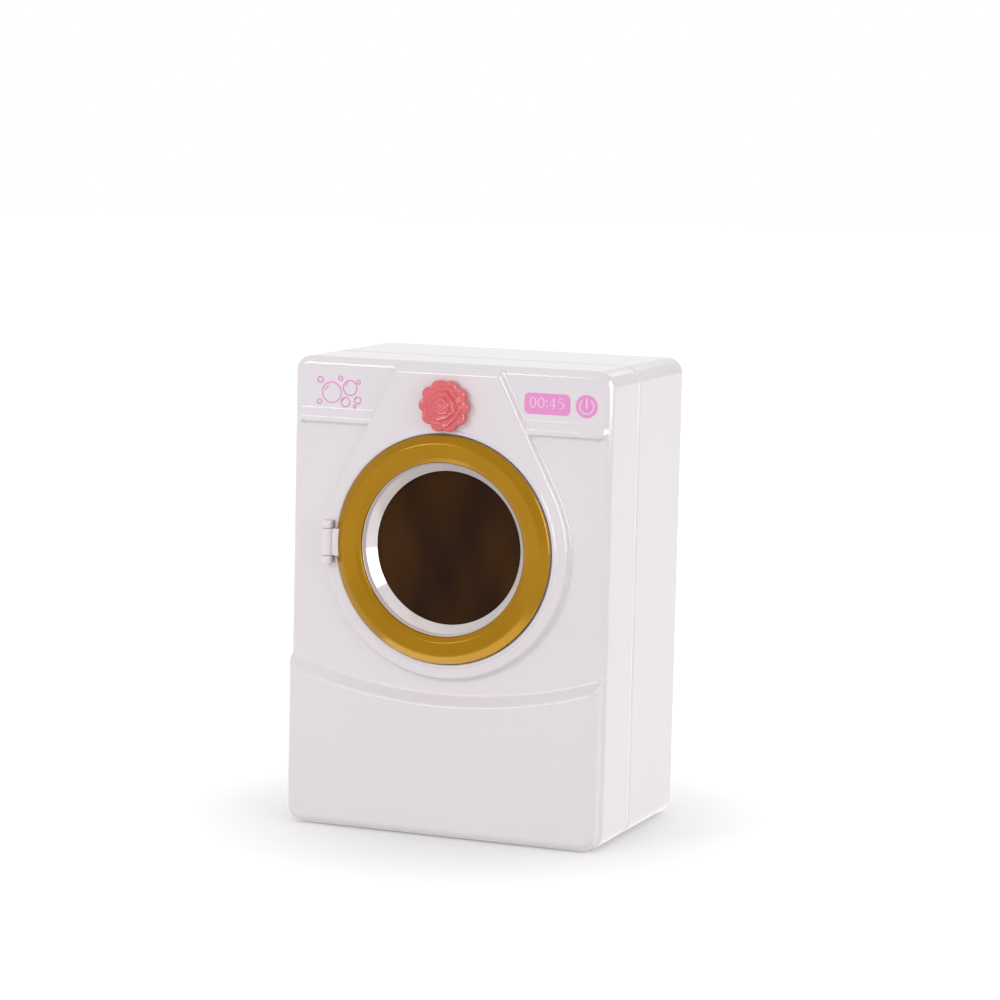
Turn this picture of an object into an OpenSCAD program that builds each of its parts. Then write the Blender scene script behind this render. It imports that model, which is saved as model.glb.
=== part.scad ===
// Toy washing machine for dolls.
// A two-part moulded case holds a tub and a hand-spun drum behind a glazed door.
// Z is up, the front faces -Y, and the origin is the centre of the footprint on the floor.

/* [Case] */
// Width of the case
case_w = 194; // [186:1:220]
// Height of the case from the floor to its top
case_h = 271; // [266:1:300]
// Depth of the case between its front face and its back
case_d = 124; // [116:1:150]
// Thickness of the moulded walls
wall = 2.2; // [1.8:0.1:2.8]
// Radius of the case corners seen from the front
corner_r = 9; // [7:0.5:12]
// Rounding of the front and back edges
edge_r = 5; // [4:0.5:6]
// Depth of the front half of the case, up to the seam
front_half_d = 46; // [42:1:54]
// Length of the lip that the rear half pushes into the front half
lip_len = 4; // [3:0.5:6]
// Thickness of that lip
lip_t = 1.5; // [1:0.1:2]

/* [Plinth panel] */
// How far the lower panel stands forward of the front face
plinth_t = 7; // [5:0.5:9]
// Set-back of the lower panel from each side of the case
plinth_inset = 1.5; // [1:0.5:4]
// Distance of the curved ledge below the plate round the door, at the middle
ledge_gap = 5; // [3:0.5:8]
// Radius of the ledge's long curve
ledge_r = 294; // [270:1:340]
// How far the ledge drops over its depth
ledge_drop = 5.3; // [3:0.1:7]

/* [Front relief] */
// How far the keyhole-shaped plate stands forward of the front face
plate_t = 5; // [4:0.5:6]
// Width of the sloped border of that plate
plate_slope = 5; // [3:0.5:6]
// Width of the plate's flat part round the door ring
plate_rim = 8.7; // [8.4:0.1:10]
// Half of the width of the plate along the top edge
plate_top_w = 34; // [28:1:38]
// Height of the raised rib on each side of the plate
rib_w = 7.5; // [6:0.5:9]
// How far the ribs stand forward
rib_t = 3; // [2:0.5:3.5]
// Distance of the ribs' centre line from the top of the case
rib_drop = 33.7; // [31:0.1:37]
// Distance of the ribs' round ends from the sides of the case
rib_end = 6.5; // [5:0.5:14]

/* [Door] */
// Distance of the door's centre from the top of the case
door_drop = 105; // [103:1:108]
// Outer radius of the door ring
ring_r = 65.3; // [64.5:0.1:66]
// Distance of the door ring's crest from its outer edge
crest_in = 5.3; // [4.5:0.1:6.5]
// Width of the door ring from its outer edge to its inner lip
ring_w = 14.4; // [13.8:0.1:15]
// How far the crest stands forward of the front face
crest_h = 12.2; // [11.5:0.1:14]
// How far the inner lip stands forward of the front face
lip_h = 9.4; // [9:0.1:10]
// Wall of the door ring
ring_t = 2; // [1.6:0.1:2.2]
// Gap between the closed door and the plate behind it
door_gap = 1.2; // [0.8:0.1:1.6]
// Width of the sloped funnel between the ring's lip and the visible window
funnel_w = 5.5; // [4.5:0.1:6]
// How far the window lies behind the front face
window_in = 1.6; // [1:0.1:2.5]
// Thickness of the window
window_t = 2; // [1.5:0.1:2.5]
// Width of the seat behind the window's edge
window_seat = 2.6; // [2:0.1:2.7]
// Thickness of the ring that holds the window
retainer_t = 2.4; // [2.2:0.1:3]
// Set-back of the skirt that enters the case from the door ring's outer edge
skirt_in = 9.5; // [9.2:0.1:9.8]
// Thickness of the skirt and the flange
skirt_t = 1.6; // [1.4:0.1:1.8]
// Gap between the skirt and the door opening in the case
opening_gap = 1.7; // [1.4:0.1:2.2]
// Wall of the collar round the opening
collar_t = 2.5; // [2:0.1:3]

/* [Hinge and catch] */
// Distance from the door ring to the hinge axis
hinge_out = 5.2; // [5:0.1:5.6]
// Radius of the hinge knuckles
knuckle_r = 3; // [2.6:0.1:3.2]
// Length of the door's knuckle
knuckle_len = 15.4; // [12:0.2:20]
// Length of each knuckle on the case
lug_len = 4.5; // [3:0.5:6]
// Radius of the hinge pin
pin_r = 1; // [0.8:0.1:1.2]
// Gap between the knuckles and under the door's knuckle
knuckle_gap = 0.3; // [0.2:0.1:0.5]
// Radius of the magnet in the door
magnet_r = 3; // [2.5:0.1:3.2]
// Gap between the closed door and the strike plate
strike_gap = 0.5; // [0.3:0.1:1]
// Thickness of the strike plate
strike_t = 1; // [0.8:0.1:1.2]
// Width and height of the strike plate
strike_size = [9, 12]; // [8:1:14]

/* [Tub and drum] */
// Wall of the tub
tub_t = 2.2; // [1.8:0.1:2.6]
// Depth from the front face to the tub's back wall
tub_in = 80; // [74:1:88]
// Gap between the drum and the tub round it
tub_gap = 3.6; // [2:0.1:5]
// Wall of the drum
drum_t = 1.8; // [1.5:0.1:2.2]
// Width of the rim round the drum's mouth
mouth_rim = 6; // [4:0.5:8]
// Gap between the drum's mouth and the collar in front of it
mouth_gap = 1.2; // [0.8:0.1:2]
// Gap between the drum's back and the tub's back wall
drum_back_gap = 6; // [5:0.5:8]
// Height of the three lifters inside the drum
lifter_h = 9; // [6:0.5:12]
// Width of a lifter at its foot
lifter_w = 17; // [12:0.5:20]
// Length of the hub's nose inside the drum
hub_nose = 8; // [5:0.5:10]
// Distance of the first and the last row of drain holes from the drum's ends
row_margin = 10; // [8:0.5:14]
// Angle between neighbouring drain holes
drain_step = 18; // [15:1:20]
// Radius of the drain holes
drain_r = 2.2; // [1.6:0.1:2.6]
// Rows of drain holes along the drum
drain_rows = 4; // [3:1:5]
// Radius of the drum's axle
axle_r = 3; // [2.5:0.1:3.5]
// Length of the bearing behind the tub
bearing_len = 12; // [9:0.5:16]

/* [Knob] */
// Gap between the knob's petals and the door ring below it
knob_up = 0.9; // [0.6:0.1:2]
// Outer radius of the flower knob
knob_r = 15.5; // [14:0.5:16.5]
// How far the knob stands forward of the plate
knob_h = 10; // [9:0.5:13]
// Number of petals in the outer row
petals = 10; // [8:1:12]
// Radius of the knob's stem
stem_r = 4; // [3.5:0.1:4.5]
// Gap between the knob and the plate
knob_gap = 0.4; // [0.2:0.1:0.6]

/* [Labels] */
// Width and height of the display label
display_size = [27.4, 11.8]; // [8:0.1:30]
// Distance of the display's centre from the side of the case
display_side = 38.1; // [36:0.1:40]
// Distance of the labels' centre line from the top of the case
label_drop = 19.6; // [18:0.1:21]
// Radius of the power label
power_r = 6.4; // [5:0.1:6.8]
// Distance of the power label's centre from the side of the case
power_side = 14.7; // [13:0.1:16]
// Width and height of the bubbles label
bubbles_size = [32, 22]; // [16:1:36]
// Distance of the bubbles label's centre from the other side of the case
bubbles_side = 29; // [26:0.5:31]
// Thickness of the labels
label_t = 0.4; // [0.3:0.1:0.6]

/* [Feet] */
// Radius of the foot pads
foot_r = 7; // [5:0.5:9]
// How far the pads lift the case off the floor
foot_proud = 0.8; // [0.5:0.1:1.5]
// How deep the pads are let into the case
foot_let_in = 0.8; // [0.5:0.1:1.2]
// Distance of the pads from the sides of the case
foot_side = 19; // [16:1:30]
// Distance of the pads from the front and the back of the case
foot_end = 16; // [14:1:22]

/* [Screws] */
// Shank radius of the case screws
screw_r = 1.5; // [1.3:0.1:1.6]
// Length of the case screws' shanks
screw_len = 14; // [10:1:18]
// Shank radius of the small screws
small_screw_r = 1.1; // [0.9:0.1:1.2]
// Length of the small screws' shanks
small_screw_len = 5; // [4:0.5:5.5]
// Shank radius of the tub and knob screws
mid_screw_r = 1.4; // [1.2:0.1:1.5]
// Length of their shanks
mid_screw_len = 8; // [6:0.5:9]
// Wall round a screw in a post
post_t = 2.5; // [2.1:0.1:2.8]
// Distance of the case screws from the sides
screw_side = 13; // [12.5:0.5:14]
// Distance of the lowest and highest screws from the bottom and the top
screw_end = 16; // [13:1:17]
// Height of the middle case screws above the ledge's lowest point
screw_mid_up = 30; // [26:1:36]

/* [Clearances] */
// Radial running clearance of shafts and pins that turn
run = 0.05; // [0.03:0.01:0.09]
// Radial clearance of pieces that are pushed together
push = 0.1; // [0.05:0.05:0.2]
// Axial play of pieces that turn
play = 0.3; // [0.2:0.05:0.4]

/* [Hidden] */
$fn = 96;
eps = 0.01;

white = [0.86, 0.85, 0.86];
gold = [0.65, 0.47, 0.13];
smoke = [0.17, 0.13, 0.10];
coral = [0.90, 0.43, 0.44];
pink = [0.93, 0.58, 0.82];
steel = [0.70, 0.70, 0.72];
grey = [0.78, 0.78, 0.80];

// Places along the depth: a height h is counted forward from the case's front face.
knob_top_h = plate_t + knob_h;
front_y = knob_top_h - (case_d + knob_top_h) / 2;
seam_h = -front_half_d;
back_h = -case_d;
case_z = foot_proud;
body_h = case_h - case_z;

// Door
door_z = case_h - door_drop;
plate_r = ring_r + plate_rim + plate_slope;
ledge_z = door_z - plate_r - ledge_gap;
crest_r = ring_r - crest_in;
lip_r = ring_r - ring_w;
sight_r = lip_r - funnel_w;
skirt_r = ring_r - skirt_in;
opening_r = skirt_r + opening_gap;
ring_back_h = plate_t + door_gap;
flange_r = ring_r - ring_t - push;
flange_h = ring_back_h + skirt_t;
seat_h = -window_in;
glass_r = sight_r + window_seat;
retainer_h = seat_h - window_t;
door_back_h = retainer_h - retainer_t;
retainer_r = skirt_r - skirt_t - push;
door_screw_ring = (glass_r + retainer_r) / 2 + push;
boss_r = (retainer_r - glass_r) / 2;
small_head_r = 2 * small_screw_r;
small_head_t = 1.2;
magnet_ring = (sight_r + retainer_r) / 2;
boss_top_h = door_back_h + small_head_t + small_screw_len + 2.6;

// Hinge and catch
hinge_x = -(ring_r + hinge_out);
hinge_h = plate_t + knuckle_r + knuckle_gap + 0.5;
arm_t = 2.6;
pin_len = knuckle_len + 2 * (knuckle_gap + lug_len);
strike_h = door_back_h - strike_gap;
shelf_t = 2;
collar_back_h = strike_h - strike_t - shelf_t;
collar_r = opening_r + collar_t;

// Tub and drum
tub_r = collar_r + push;
drum_r = tub_r - tub_gap;
drum_mouth_r = drum_r - mouth_rim;
tub_front_h = -2;
ear_h = -4;
ear_t = 3;
ear_ring = tub_r + tub_t + push + mid_screw_r + post_t;
mid_head_r = 2 * mid_screw_r;
mid_head_t = 2;
bush_r = axle_r + 3;
bush_flange_t = 1.2;
bush_flange_r = bush_r + 3;
bearing_back_h = -tub_in - bearing_len;
drum_front_h = collar_back_h - mouth_gap;
drum_back_h = -tub_in + drum_back_gap;
hub_r = axle_r + 6;
hub_back_h = -tub_in + bush_flange_t + play;
washer_t = 1;
washer_h = bearing_back_h - play;
clip_t = 0.8;
axle_end_h = washer_h - washer_t - clip_t - 3;

// Knob
knob_z = door_z + ring_r + knob_up + knob_r;
knob_back_h = plate_t + knob_gap;
stem_boss_h = -2.6;
friction_t = 1.1;
stem_end_h = stem_boss_h - friction_t - play;
stem_boss_r = stem_r + 3;
petal_r = 4.6;

// Labels, ribs and screws
label_z = case_h - label_drop;
display_x = case_w / 2 - display_side;
power_x = case_w / 2 - power_side;
bubbles_x = case_w / 2 - bubbles_side;
rib_z = case_h - rib_drop;
label_proud = label_t / 2;
screw_x = case_w / 2 - screw_side;
screw_mid_z = ledge_z + screw_mid_up;
screw_places = [for (sx = [-1, 1], z = [case_z + screw_end, screw_mid_z, case_h - screw_end])
    [sx * screw_x, z]];
head_r = 2 * screw_r;
head_t = 2.2;
post_r = screw_r + post_t;
well_r = head_r + 1.2;
well_seat = 3;
foot_places = [for (sx = [-1, 1], y = [front_y + foot_end, front_y + case_d - foot_end])
    [sx * (case_w / 2 - foot_side), y]];

// Moves a child drawn as (across, up, forward) to a point on the front of the case.
module on_front(x = 0, z = 0, h = 0)
{
    translate([x, front_y - h, z])
        rotate([90, 0, 0])
            children();
}

// A bar along the depth from height h0 (nearer the back) to h1.
module bar(x, z, r, h0, h1)
{
    on_front(x, z, h0)
        cylinder(r = r, h = h1 - h0);
}

// A body turned about the door's axis, from a profile of (radius, height) points.
module turned(points)
{
    on_front(0, door_z, 0)
        rotate_extrude($fn = 144)
            polygon(points);
}

// Rectangle with round corners, centred.
module round_rect(w, h, r)
{
    square([w - 2 * r, h], center = true);
    square([w, h - 2 * r], center = true);
    for (sx = [-1, 1], sy = [-1, 1])
        translate([sx * (w / 2 - r), sy * (h / 2 - r)])
            circle(r = r, $fn = 48);
}

// Straight block with the case's outline, inset all round, from height h0 to h1.
module case_block(inset, h0, h1)
{
    on_front(0, case_z + body_h / 2, h0)
        linear_extrude(h1 - h0)
            round_rect(case_w - 2 * inset, body_h - 2 * inset, corner_r - inset);
}

// Strip of width w and depth d whose far corners are round.
module end_round(w, d, r)
{
    translate([-w / 2, -1])
        square([w, d - r + 1]);
    translate([r - w / 2, -1])
        square([w - 2 * r, d + 1]);
    for (sx = [-1, 1])
        translate([sx * (w / 2 - r), d - r])
            circle(r = r, $fn = 48);
}

// Full block with corners of radius rc and an outer face, at height h, with edges of radius re.
// Its other end, at height h_end, is flat.
module soft_block(w, z0, z1, rc, re, h, h_end)
{
    d = abs(h - h_end);
    on_front(0, (z0 + z1) / 2, h_end)
        rotate([0, h > h_end ? 0 : 180, 0])
            intersection() {
                linear_extrude(d + 1)
                    round_rect(w, z1 - z0, rc);
                rotate([90, 0, 0])
                    linear_extrude(z1 - z0 + 2, center = true)
                        end_round(w, d, re);
                rotate([0, -90, 0])
                    rotate([0, 0, -90])
                        linear_extrude(w + 2, center = true)
                            end_round(z1 - z0, d, re);
            }
}

// Everything above the ledge of the lower panel, to cut that panel along its curve.
module above_ledge(grow)
{
    on_front(0, ledge_z + ledge_r, -wall)
        cylinder(r1 = ledge_r - ledge_drop * wall / plinth_t + grow,
            r2 = ledge_r + ledge_drop + ledge_drop / plinth_t + grow,
            h = plinth_t + wall + 1, $fn = 360);
}

module plinth(inset)
{
    rise = ledge_r - sqrt(ledge_r * ledge_r - case_w * case_w / 4);
    top_z = ledge_z + rise + corner_r;
    difference() {
        soft_block(case_w - 2 * (plinth_inset + inset), case_z + inset, top_z,
            corner_r - inset, edge_r - inset, plinth_t - inset, -wall - inset);
        above_ledge(inset);
    }
}

// Point where a straight flank from the plate's top corner touches the round part.
function flank(top_w, top_z, r) =
    let (d = norm([top_w, top_z - door_z]), a = atan2(top_z - door_z, top_w) - acos(r / d))
    [r * cos(a), door_z + r * sin(a)];

// Outline of the flared part of the keyhole plate, inset on its flanks.
module flare(inset, top_z)
{
    r = plate_r - inset;
    w = plate_top_w - inset / 2;
    touch = flank(w, top_z, r);
    polygon([[-w, top_z], [w, top_z], touch, [0, door_z], [-touch[0], touch[1]]]);
}

module keyhole_plate()
{
    top_z = case_h - edge_r / 2;
    sunk = wall / 2;
    grow = plate_slope * sunk / plate_t;
    on_front(0, door_z, -sunk)
        cylinder(r1 = plate_r + grow, r2 = plate_r - plate_slope, h = plate_t + sunk, $fn = 144);
    hull() {
        on_front(0, 0, -sunk)
            linear_extrude(eps)
                flare(-grow, top_z);
        on_front(0, 0, plate_t - eps)
            linear_extrude(eps)
                flare(plate_slope, top_z - edge_r / 2);
    }
}

// Hollow behind the keyhole plate.
module keyhole_hollow()
{
    inset = plate_slope + wall / 2;
    on_front(0, door_z, -wall - 1)
        cylinder(r = plate_r - inset, h = plate_t + 1);
    on_front(0, 0, -wall - 1)
        linear_extrude(plate_t + 1)
            flare(inset, case_h - wall - corner_r);
}

module ribs()
{
    rib_r = rib_w / 2;
    x_in = plate_top_w + 4;
    x_out = case_w / 2 - rib_end - rib_r;
    for (sx = [-1, 1]) {
        translate([sx * x_in, front_y + rib_r - rib_t, rib_z])
            rotate([0, sx * 90, 0])
                cylinder(r = rib_r, h = x_out - x_in, $fn = 48);
        translate([sx * x_out, front_y + rib_r - rib_t, rib_z])
            sphere(r = rib_r, $fn = 48);
    }
}

module hinge_lugs()
{
    for (s = [-1, 1])
        translate([hinge_x, front_y, door_z + s * (knuckle_len + lug_len + 2 * knuckle_gap) / 2])
            difference() {
                union() {
                    translate([0, -hinge_h, 0])
                        cylinder(r = knuckle_r, h = lug_len, center = true, $fn = 48);
                    translate([-knuckle_r, -hinge_h, -lug_len / 2])
                        cube([2 * knuckle_r, hinge_h - plate_t + wall / 2, lug_len]);
                }
                translate([0, -hinge_h, 0])
                    cylinder(r = pin_r + push / 2, h = lug_len + 1, center = true, $fn = 32);
            }
}

// Steps of the inner side: how far forward the wall stands behind a screw place.
function wall_h(z) = z < ledge_z ? plinth_t : 0;

module front_posts()
{
    for (p = screw_places)
        bar(p[0], p[1], post_r, seam_h, wall_h(p[1]) - wall / 2);
    for (a = [45:90:315])
        bar(ear_ring * cos(a), door_z + ear_ring * sin(a), mid_screw_r + post_t, ear_h,
            plate_t - wall / 2);
    bar(0, knob_z, stem_boss_r, stem_boss_h, plate_t - wall / 2);
}

module strike_shelf()
{
    x0 = magnet_ring - strike_size[0] / 2 - 1;
    intersection() {
        on_front(x0, door_z - strike_size[1] / 2 - 2, collar_back_h)
            cube([collar_r - x0, strike_size[1] + 4, shelf_t + strike_t - 0.1]);
        bar(0, door_z, collar_r - 0.2, collar_back_h - 1, 0);
    }
}

module strike_pocket()
{
    on_front(magnet_ring, door_z, strike_h - strike_t)
        linear_extrude(strike_t + 1)
            square([strike_size[0] + push, strike_size[1] + push], center = true);
}

module front_shell()
{
    color(white)
        difference() {
            union() {
                difference() {
                    union() {
                        soft_block(case_w, case_z, case_h, corner_r, edge_r, 0, seam_h);
                        plinth(0);
                        keyhole_plate();
                        ribs();
                    }
                    soft_block(case_w - 2 * wall, case_z + wall, case_h - wall, corner_r - wall,
                        edge_r - wall, -wall, seam_h - 1);
                    plinth(wall);
                    keyhole_hollow();
                }
                front_posts();
                bar(0, door_z, collar_r, collar_back_h, plate_t - wall / 2);
                hinge_lugs();
            }
            difference() {
                bar(0, door_z, opening_r, collar_back_h - 1, plate_t + 1);
                strike_shelf();
            }
            strike_pocket();
            for (p = screw_places)
                bar(p[0], p[1], screw_r + push / 2, seam_h - 1, seam_h + screw_len);
            for (a = [45:90:315])
                bar(ear_ring * cos(a), door_z + ear_ring * sin(a), mid_screw_r + push / 2,
                    ear_h - 1, plate_t - wall);
            bar(0, knob_z, stem_r + run, stem_boss_h - 1, plate_t + 1);
            label_recess(display_x)
                round_rect(display_size[0] + push, display_size[1] + push, 2);
            label_recess(power_x)
                circle(r = power_r + push / 2);
            label_recess(-bubbles_x)
                round_rect(bubbles_size[0] + push, bubbles_size[1] + push, 4);
            foot_pockets();
        }
}

module label_recess(x)
{
    on_front(x, label_z, label_proud - label_t)
        linear_extrude(label_t + 1)
            children();
}

module foot_pockets()
{
    for (p = foot_places)
        translate([p[0], p[1], 0])
            cylinder(r = foot_r + push / 2, h = foot_proud + foot_let_in);
}

module rear_shell()
{
    lip_in = wall + push;
    color(white)
        difference() {
            union() {
                difference() {
                    union() {
                        soft_block(case_w, case_z, case_h, corner_r, edge_r, back_h, seam_h);
                        case_block(lip_in, seam_h - 1, seam_h + lip_len);
                    }
                    soft_block(case_w - 2 * wall, case_z + wall, case_h - wall, corner_r - wall,
                        edge_r - wall, back_h + wall, seam_h - wall);
                    case_block(lip_in + lip_t, seam_h - wall - 1, seam_h + lip_len + 1);
                }
                for (p = screw_places)
                    bar(p[0], p[1], well_r, back_h + wall / 2, seam_h);
                // Stiffening ribs across the inside of the back
                for (z = [case_h / 3, 2 * case_h / 3])
                    on_front(0, z, back_h + wall / 2)
                        linear_extrude(wall / 2 + 3)
                            square([case_w - 4 * wall, 2], center = true);
            }
            for (p = screw_places) {
                bar(p[0], p[1], head_r + 2 * push, back_h - 1, seam_h - well_seat);
                bar(p[0], p[1], screw_r + push, back_h - 1, seam_h + 1);
                // The lip stands clear of the front half's posts
                bar(p[0], p[1], post_r + push, seam_h, seam_h + lip_len + 1);
            }
            foot_pockets();
        }
}

module screw(r, len, r_head, t_head)
{
    cylinder(r = r, h = len, $fn = 24);
    translate([0, 0, -t_head])
        difference() {
            cylinder(r = r_head, h = t_head, $fn = 32);
            for (a = [0, 90])
                rotate([0, 0, a])
                    cube([1.3 * r_head, 0.35 * r_head, t_head], center = true);
        }
}

module case_screws()
{
    color(steel)
        for (p = screw_places)
            on_front(p[0], p[1], seam_h - well_seat)
                screw(screw_r, screw_len, head_r, head_t);
}

module foot_pads()
{
    color([0.9, 0.9, 0.9])
        for (p = foot_places)
            translate([p[0], p[1], 0])
                cylinder(r = foot_r, h = foot_proud + foot_let_in);
}

module tub()
{
    back = -tub_in;
    color(grey)
        difference() {
            union() {
                turned([[tub_r, tub_front_h], [tub_r + tub_t, tub_front_h],
                    [tub_r + tub_t, back - tub_t], [bush_r + push, back - tub_t],
                    [bush_r + push, back], [tub_r, back]]);
                turned([[bush_r + push, back - 1], [bush_flange_r, back - 1],
                    [bush_flange_r, bearing_back_h], [bush_r + push, bearing_back_h]]);
                for (a = [45:90:315])
                    on_front(0, door_z, ear_h - ear_t)
                        rotate([0, 0, a]) {
                            translate([ear_ring, 0, 0])
                                cylinder(r = mid_screw_r + post_t, h = ear_t, $fn = 48);
                            translate([tub_r + tub_t / 2, -mid_screw_r - post_t, 0])
                                cube([ear_ring - tub_r - tub_t / 2, 2 * (mid_screw_r + post_t), ear_t]);
                        }
                // Ribs that stiffen the back round the bearing
                for (a = [0:60:300])
                    on_front(0, door_z, back - tub_t - 4)
                        rotate([0, 0, a])
                            translate([bush_flange_r - 1, -0.9, 0])
                                cube([tub_r - bush_flange_r, 1.8, 5]);
            }
            for (a = [45:90:315])
                bar(ear_ring * cos(a), door_z + ear_ring * sin(a), mid_screw_r + push,
                    ear_h - ear_t - 1, ear_h + 1);
        }
}

module tub_screws()
{
    color(steel)
        for (a = [45:90:315])
            on_front(ear_ring * cos(a), door_z + ear_ring * sin(a), ear_h - ear_t)
                screw(mid_screw_r, mid_screw_len, mid_head_r, mid_head_t);
}

module drum()
{
    inner = drum_r - drum_t;
    first = drum_front_h - row_margin;
    last = drum_back_h + row_margin;
    rows = [for (i = [0:drain_rows - 1]) first + (last - first) * i / (drain_rows - 1)];
    thirds = [for (i = [0:2]) 90 + 120 * i];
    color(grey)
        difference() {
            union() {
                turned([[drum_mouth_r, drum_front_h], [drum_r - drum_t / 2, drum_front_h],
                    [drum_r, drum_front_h - drum_t / 2], [drum_r, drum_back_h + drum_t / 2],
                    [drum_r - drum_t / 2, drum_back_h], [0, drum_back_h],
                    [0, drum_back_h + drum_t], [inner, drum_back_h + drum_t],
                    [inner, drum_front_h - drum_t], [drum_mouth_r, drum_front_h - drum_t]]);
                bar(0, door_z, hub_r, hub_back_h, drum_back_h + drum_t / 2);
                on_front(0, door_z, drum_back_h)
                    cylinder(r1 = 1.3 * hub_r, r2 = 0.8 * hub_r, h = drum_t + hub_nose);
                for (a = thirds)
                    on_front(0, door_z, drum_back_h + drum_t / 2)
                        rotate([0, 0, a])
                            linear_extrude(drum_front_h - drum_back_h - 3 * drum_t)
                                polygon([[inner + drum_t / 2, -lifter_w / 2],
                                    [inner - lifter_h, -lifter_w / 8],
                                    [inner - lifter_h, lifter_w / 8],
                                    [inner + drum_t / 2, lifter_w / 2]]);
            }
            for (h = rows, a = thirds, k = [-2:2])
                on_front(0, door_z, h)
                    rotate([0, 0, a + 60 + k * drain_step])
                        rotate([0, 90, 0])
                            translate([0, 0, drum_r - 3 * drum_t])
                                cylinder(r = drain_r, h = 6 * drum_t, $fn = 24);
            bar(0, door_z, axle_r + push / 2, hub_back_h - 1, drum_back_h + 0.75 * hub_nose);
        }
}

module drum_axle()
{
    color(steel)
        bar(0, door_z, axle_r, axle_end_h, drum_back_h + 0.75 * hub_nose);
}

module drum_bush()
{
    color([0.93, 0.92, 0.88])
        turned([[axle_r + run, -tub_in + bush_flange_t], [bush_flange_r, -tub_in + bush_flange_t],
            [bush_flange_r, -tub_in], [bush_r, -tub_in],
            [bush_r, bearing_back_h], [axle_r + run, bearing_back_h]]);
}

module drum_washer()
{
    color(steel)
        turned([[axle_r + push, washer_h], [bush_flange_r - 1, washer_h],
            [bush_flange_r - 1, washer_h - washer_t], [axle_r + push, washer_h - washer_t]]);
}

module drum_clip()
{
    h = washer_h - washer_t;
    color(steel)
        difference() {
            turned([[axle_r + push / 2, h], [axle_r + 3.5, h], [axle_r + 3.5, h - clip_t],
                [axle_r + push / 2, h - clip_t]]);
            for (a = [0:60:300])
                on_front(0, door_z, h - clip_t - 1)
                    rotate([0, 0, a])
                        translate([axle_r + 1, 0, 0])
                            cylinder(r = 0.7, h = clip_t + 2, $fn = 16);
        }
}

module door_frame()
{
    color(white)
        difference() {
            union() {
                // Flange behind the ring
                turned([[lip_r + 1, ring_back_h], [flange_r, ring_back_h],
                    [flange_r, flange_h], [lip_r + 1, flange_h]]);
                // Skirt that enters the case
                turned([[skirt_r - skirt_t, door_back_h], [skirt_r, door_back_h],
                    [skirt_r, ring_back_h + eps], [skirt_r - skirt_t, ring_back_h + eps]]);
                // Funnel from the ring's lip down to the window
                turned([[sight_r, seat_h], [glass_r + push, seat_h],
                    [lip_r + 1.6, ring_back_h], [lip_r + 1.6, flange_h],
                    [lip_r - push, flange_h]]);
                for (a = [45:90:315])
                    bar(door_screw_ring * cos(a), door_z + door_screw_ring * sin(a), boss_r,
                        retainer_h, boss_top_h);
                // Hinge arm and knuckle
                translate([hinge_x, front_y - ring_back_h - arm_t, door_z - knuckle_len / 2])
                    cube([hinge_out + ring_t + 3, arm_t, knuckle_len]);
                translate([hinge_x, front_y - hinge_h, door_z])
                    cylinder(r = knuckle_r, h = knuckle_len, center = true, $fn = 48);
            }
            for (a = [45:90:315])
                bar(door_screw_ring * cos(a), door_z + door_screw_ring * sin(a),
                    small_screw_r + push / 2, retainer_h - 1, boss_top_h - 1);
            translate([hinge_x, front_y - hinge_h, door_z])
                cylinder(r = pin_r + run, h = knuckle_len + 1, center = true, $fn = 32);
        }
}

module door_ring()
{
    mid_r = (lip_r + crest_r) / 2;
    mid_h = (lip_h + crest_h) / 2 + 0.5;
    bevel = ring_r - crest_r;
    inner_r = ring_r - ring_t;
    color(gold)
        difference() {
            turned([
                // Outer bevel up to the crest
                [ring_r, ring_back_h], [ring_r, ring_back_h + 1.2],
                for (t = [0:15:90])
                    [ring_r - bevel * (1 - cos(t)),
                        ring_back_h + 1.2 + (crest_h - ring_back_h - 1.2) * sin(t)],
                // Main face down to the inner lip
                [mid_r, mid_h], [lip_r + 0.6, lip_h], [lip_r, lip_h - 0.6], [lip_r, flange_h + 0.1],
                // Underside
                [lip_r + 2, flange_h + 0.1], [mid_r, mid_h - ring_t], [crest_r, crest_h - ring_t],
                [inner_r - 1, (crest_h + ring_back_h) / 2], [inner_r, flange_h + push],
                [inner_r, ring_back_h]]);
            translate([hinge_x, front_y - ring_back_h - arm_t - push, door_z - knuckle_len / 2 - push])
                cube([hinge_out + ring_t + 5, arm_t + 1, knuckle_len + 2 * push]);
        }
}

module door_window()
{
    color(smoke)
        bar(0, door_z, glass_r, retainer_h, seat_h);
}

module window_retainer()
{
    color(white)
        difference() {
            turned([[sight_r - 1, door_back_h], [retainer_r, door_back_h],
                [retainer_r, retainer_h], [sight_r - 1, retainer_h]]);
            for (a = [45:90:315]) {
                bar(door_screw_ring * cos(a), door_z + door_screw_ring * sin(a),
                    small_screw_r + push, door_back_h - 1, retainer_h + 1);
                bar(door_screw_ring * cos(a), door_z + door_screw_ring * sin(a),
                    small_head_r + push, door_back_h - 1, door_back_h + small_head_t);
            }
            bar(magnet_ring, door_z, magnet_r + push / 2, door_back_h - 1, retainer_h + 1);
        }
}

module door_screws()
{
    color(steel)
        for (a = [45:90:315])
            on_front(door_screw_ring * cos(a), door_z + door_screw_ring * sin(a),
                door_back_h + small_head_t)
                screw(small_screw_r, small_screw_len, small_head_r, small_head_t);
}

module door_magnet()
{
    color([0.5, 0.5, 0.52])
        bar(magnet_ring, door_z, magnet_r, door_back_h, retainer_h - push / 2);
}

module strike_plate()
{
    color(steel)
        on_front(magnet_ring, door_z, strike_h - strike_t)
            linear_extrude(strike_t)
                square(strike_size, center = true);
}

module hinge_pin()
{
    color(steel)
        translate([hinge_x, front_y - hinge_h, door_z])
            cylinder(r = pin_r, h = pin_len, center = true, $fn = 32);
}

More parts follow.
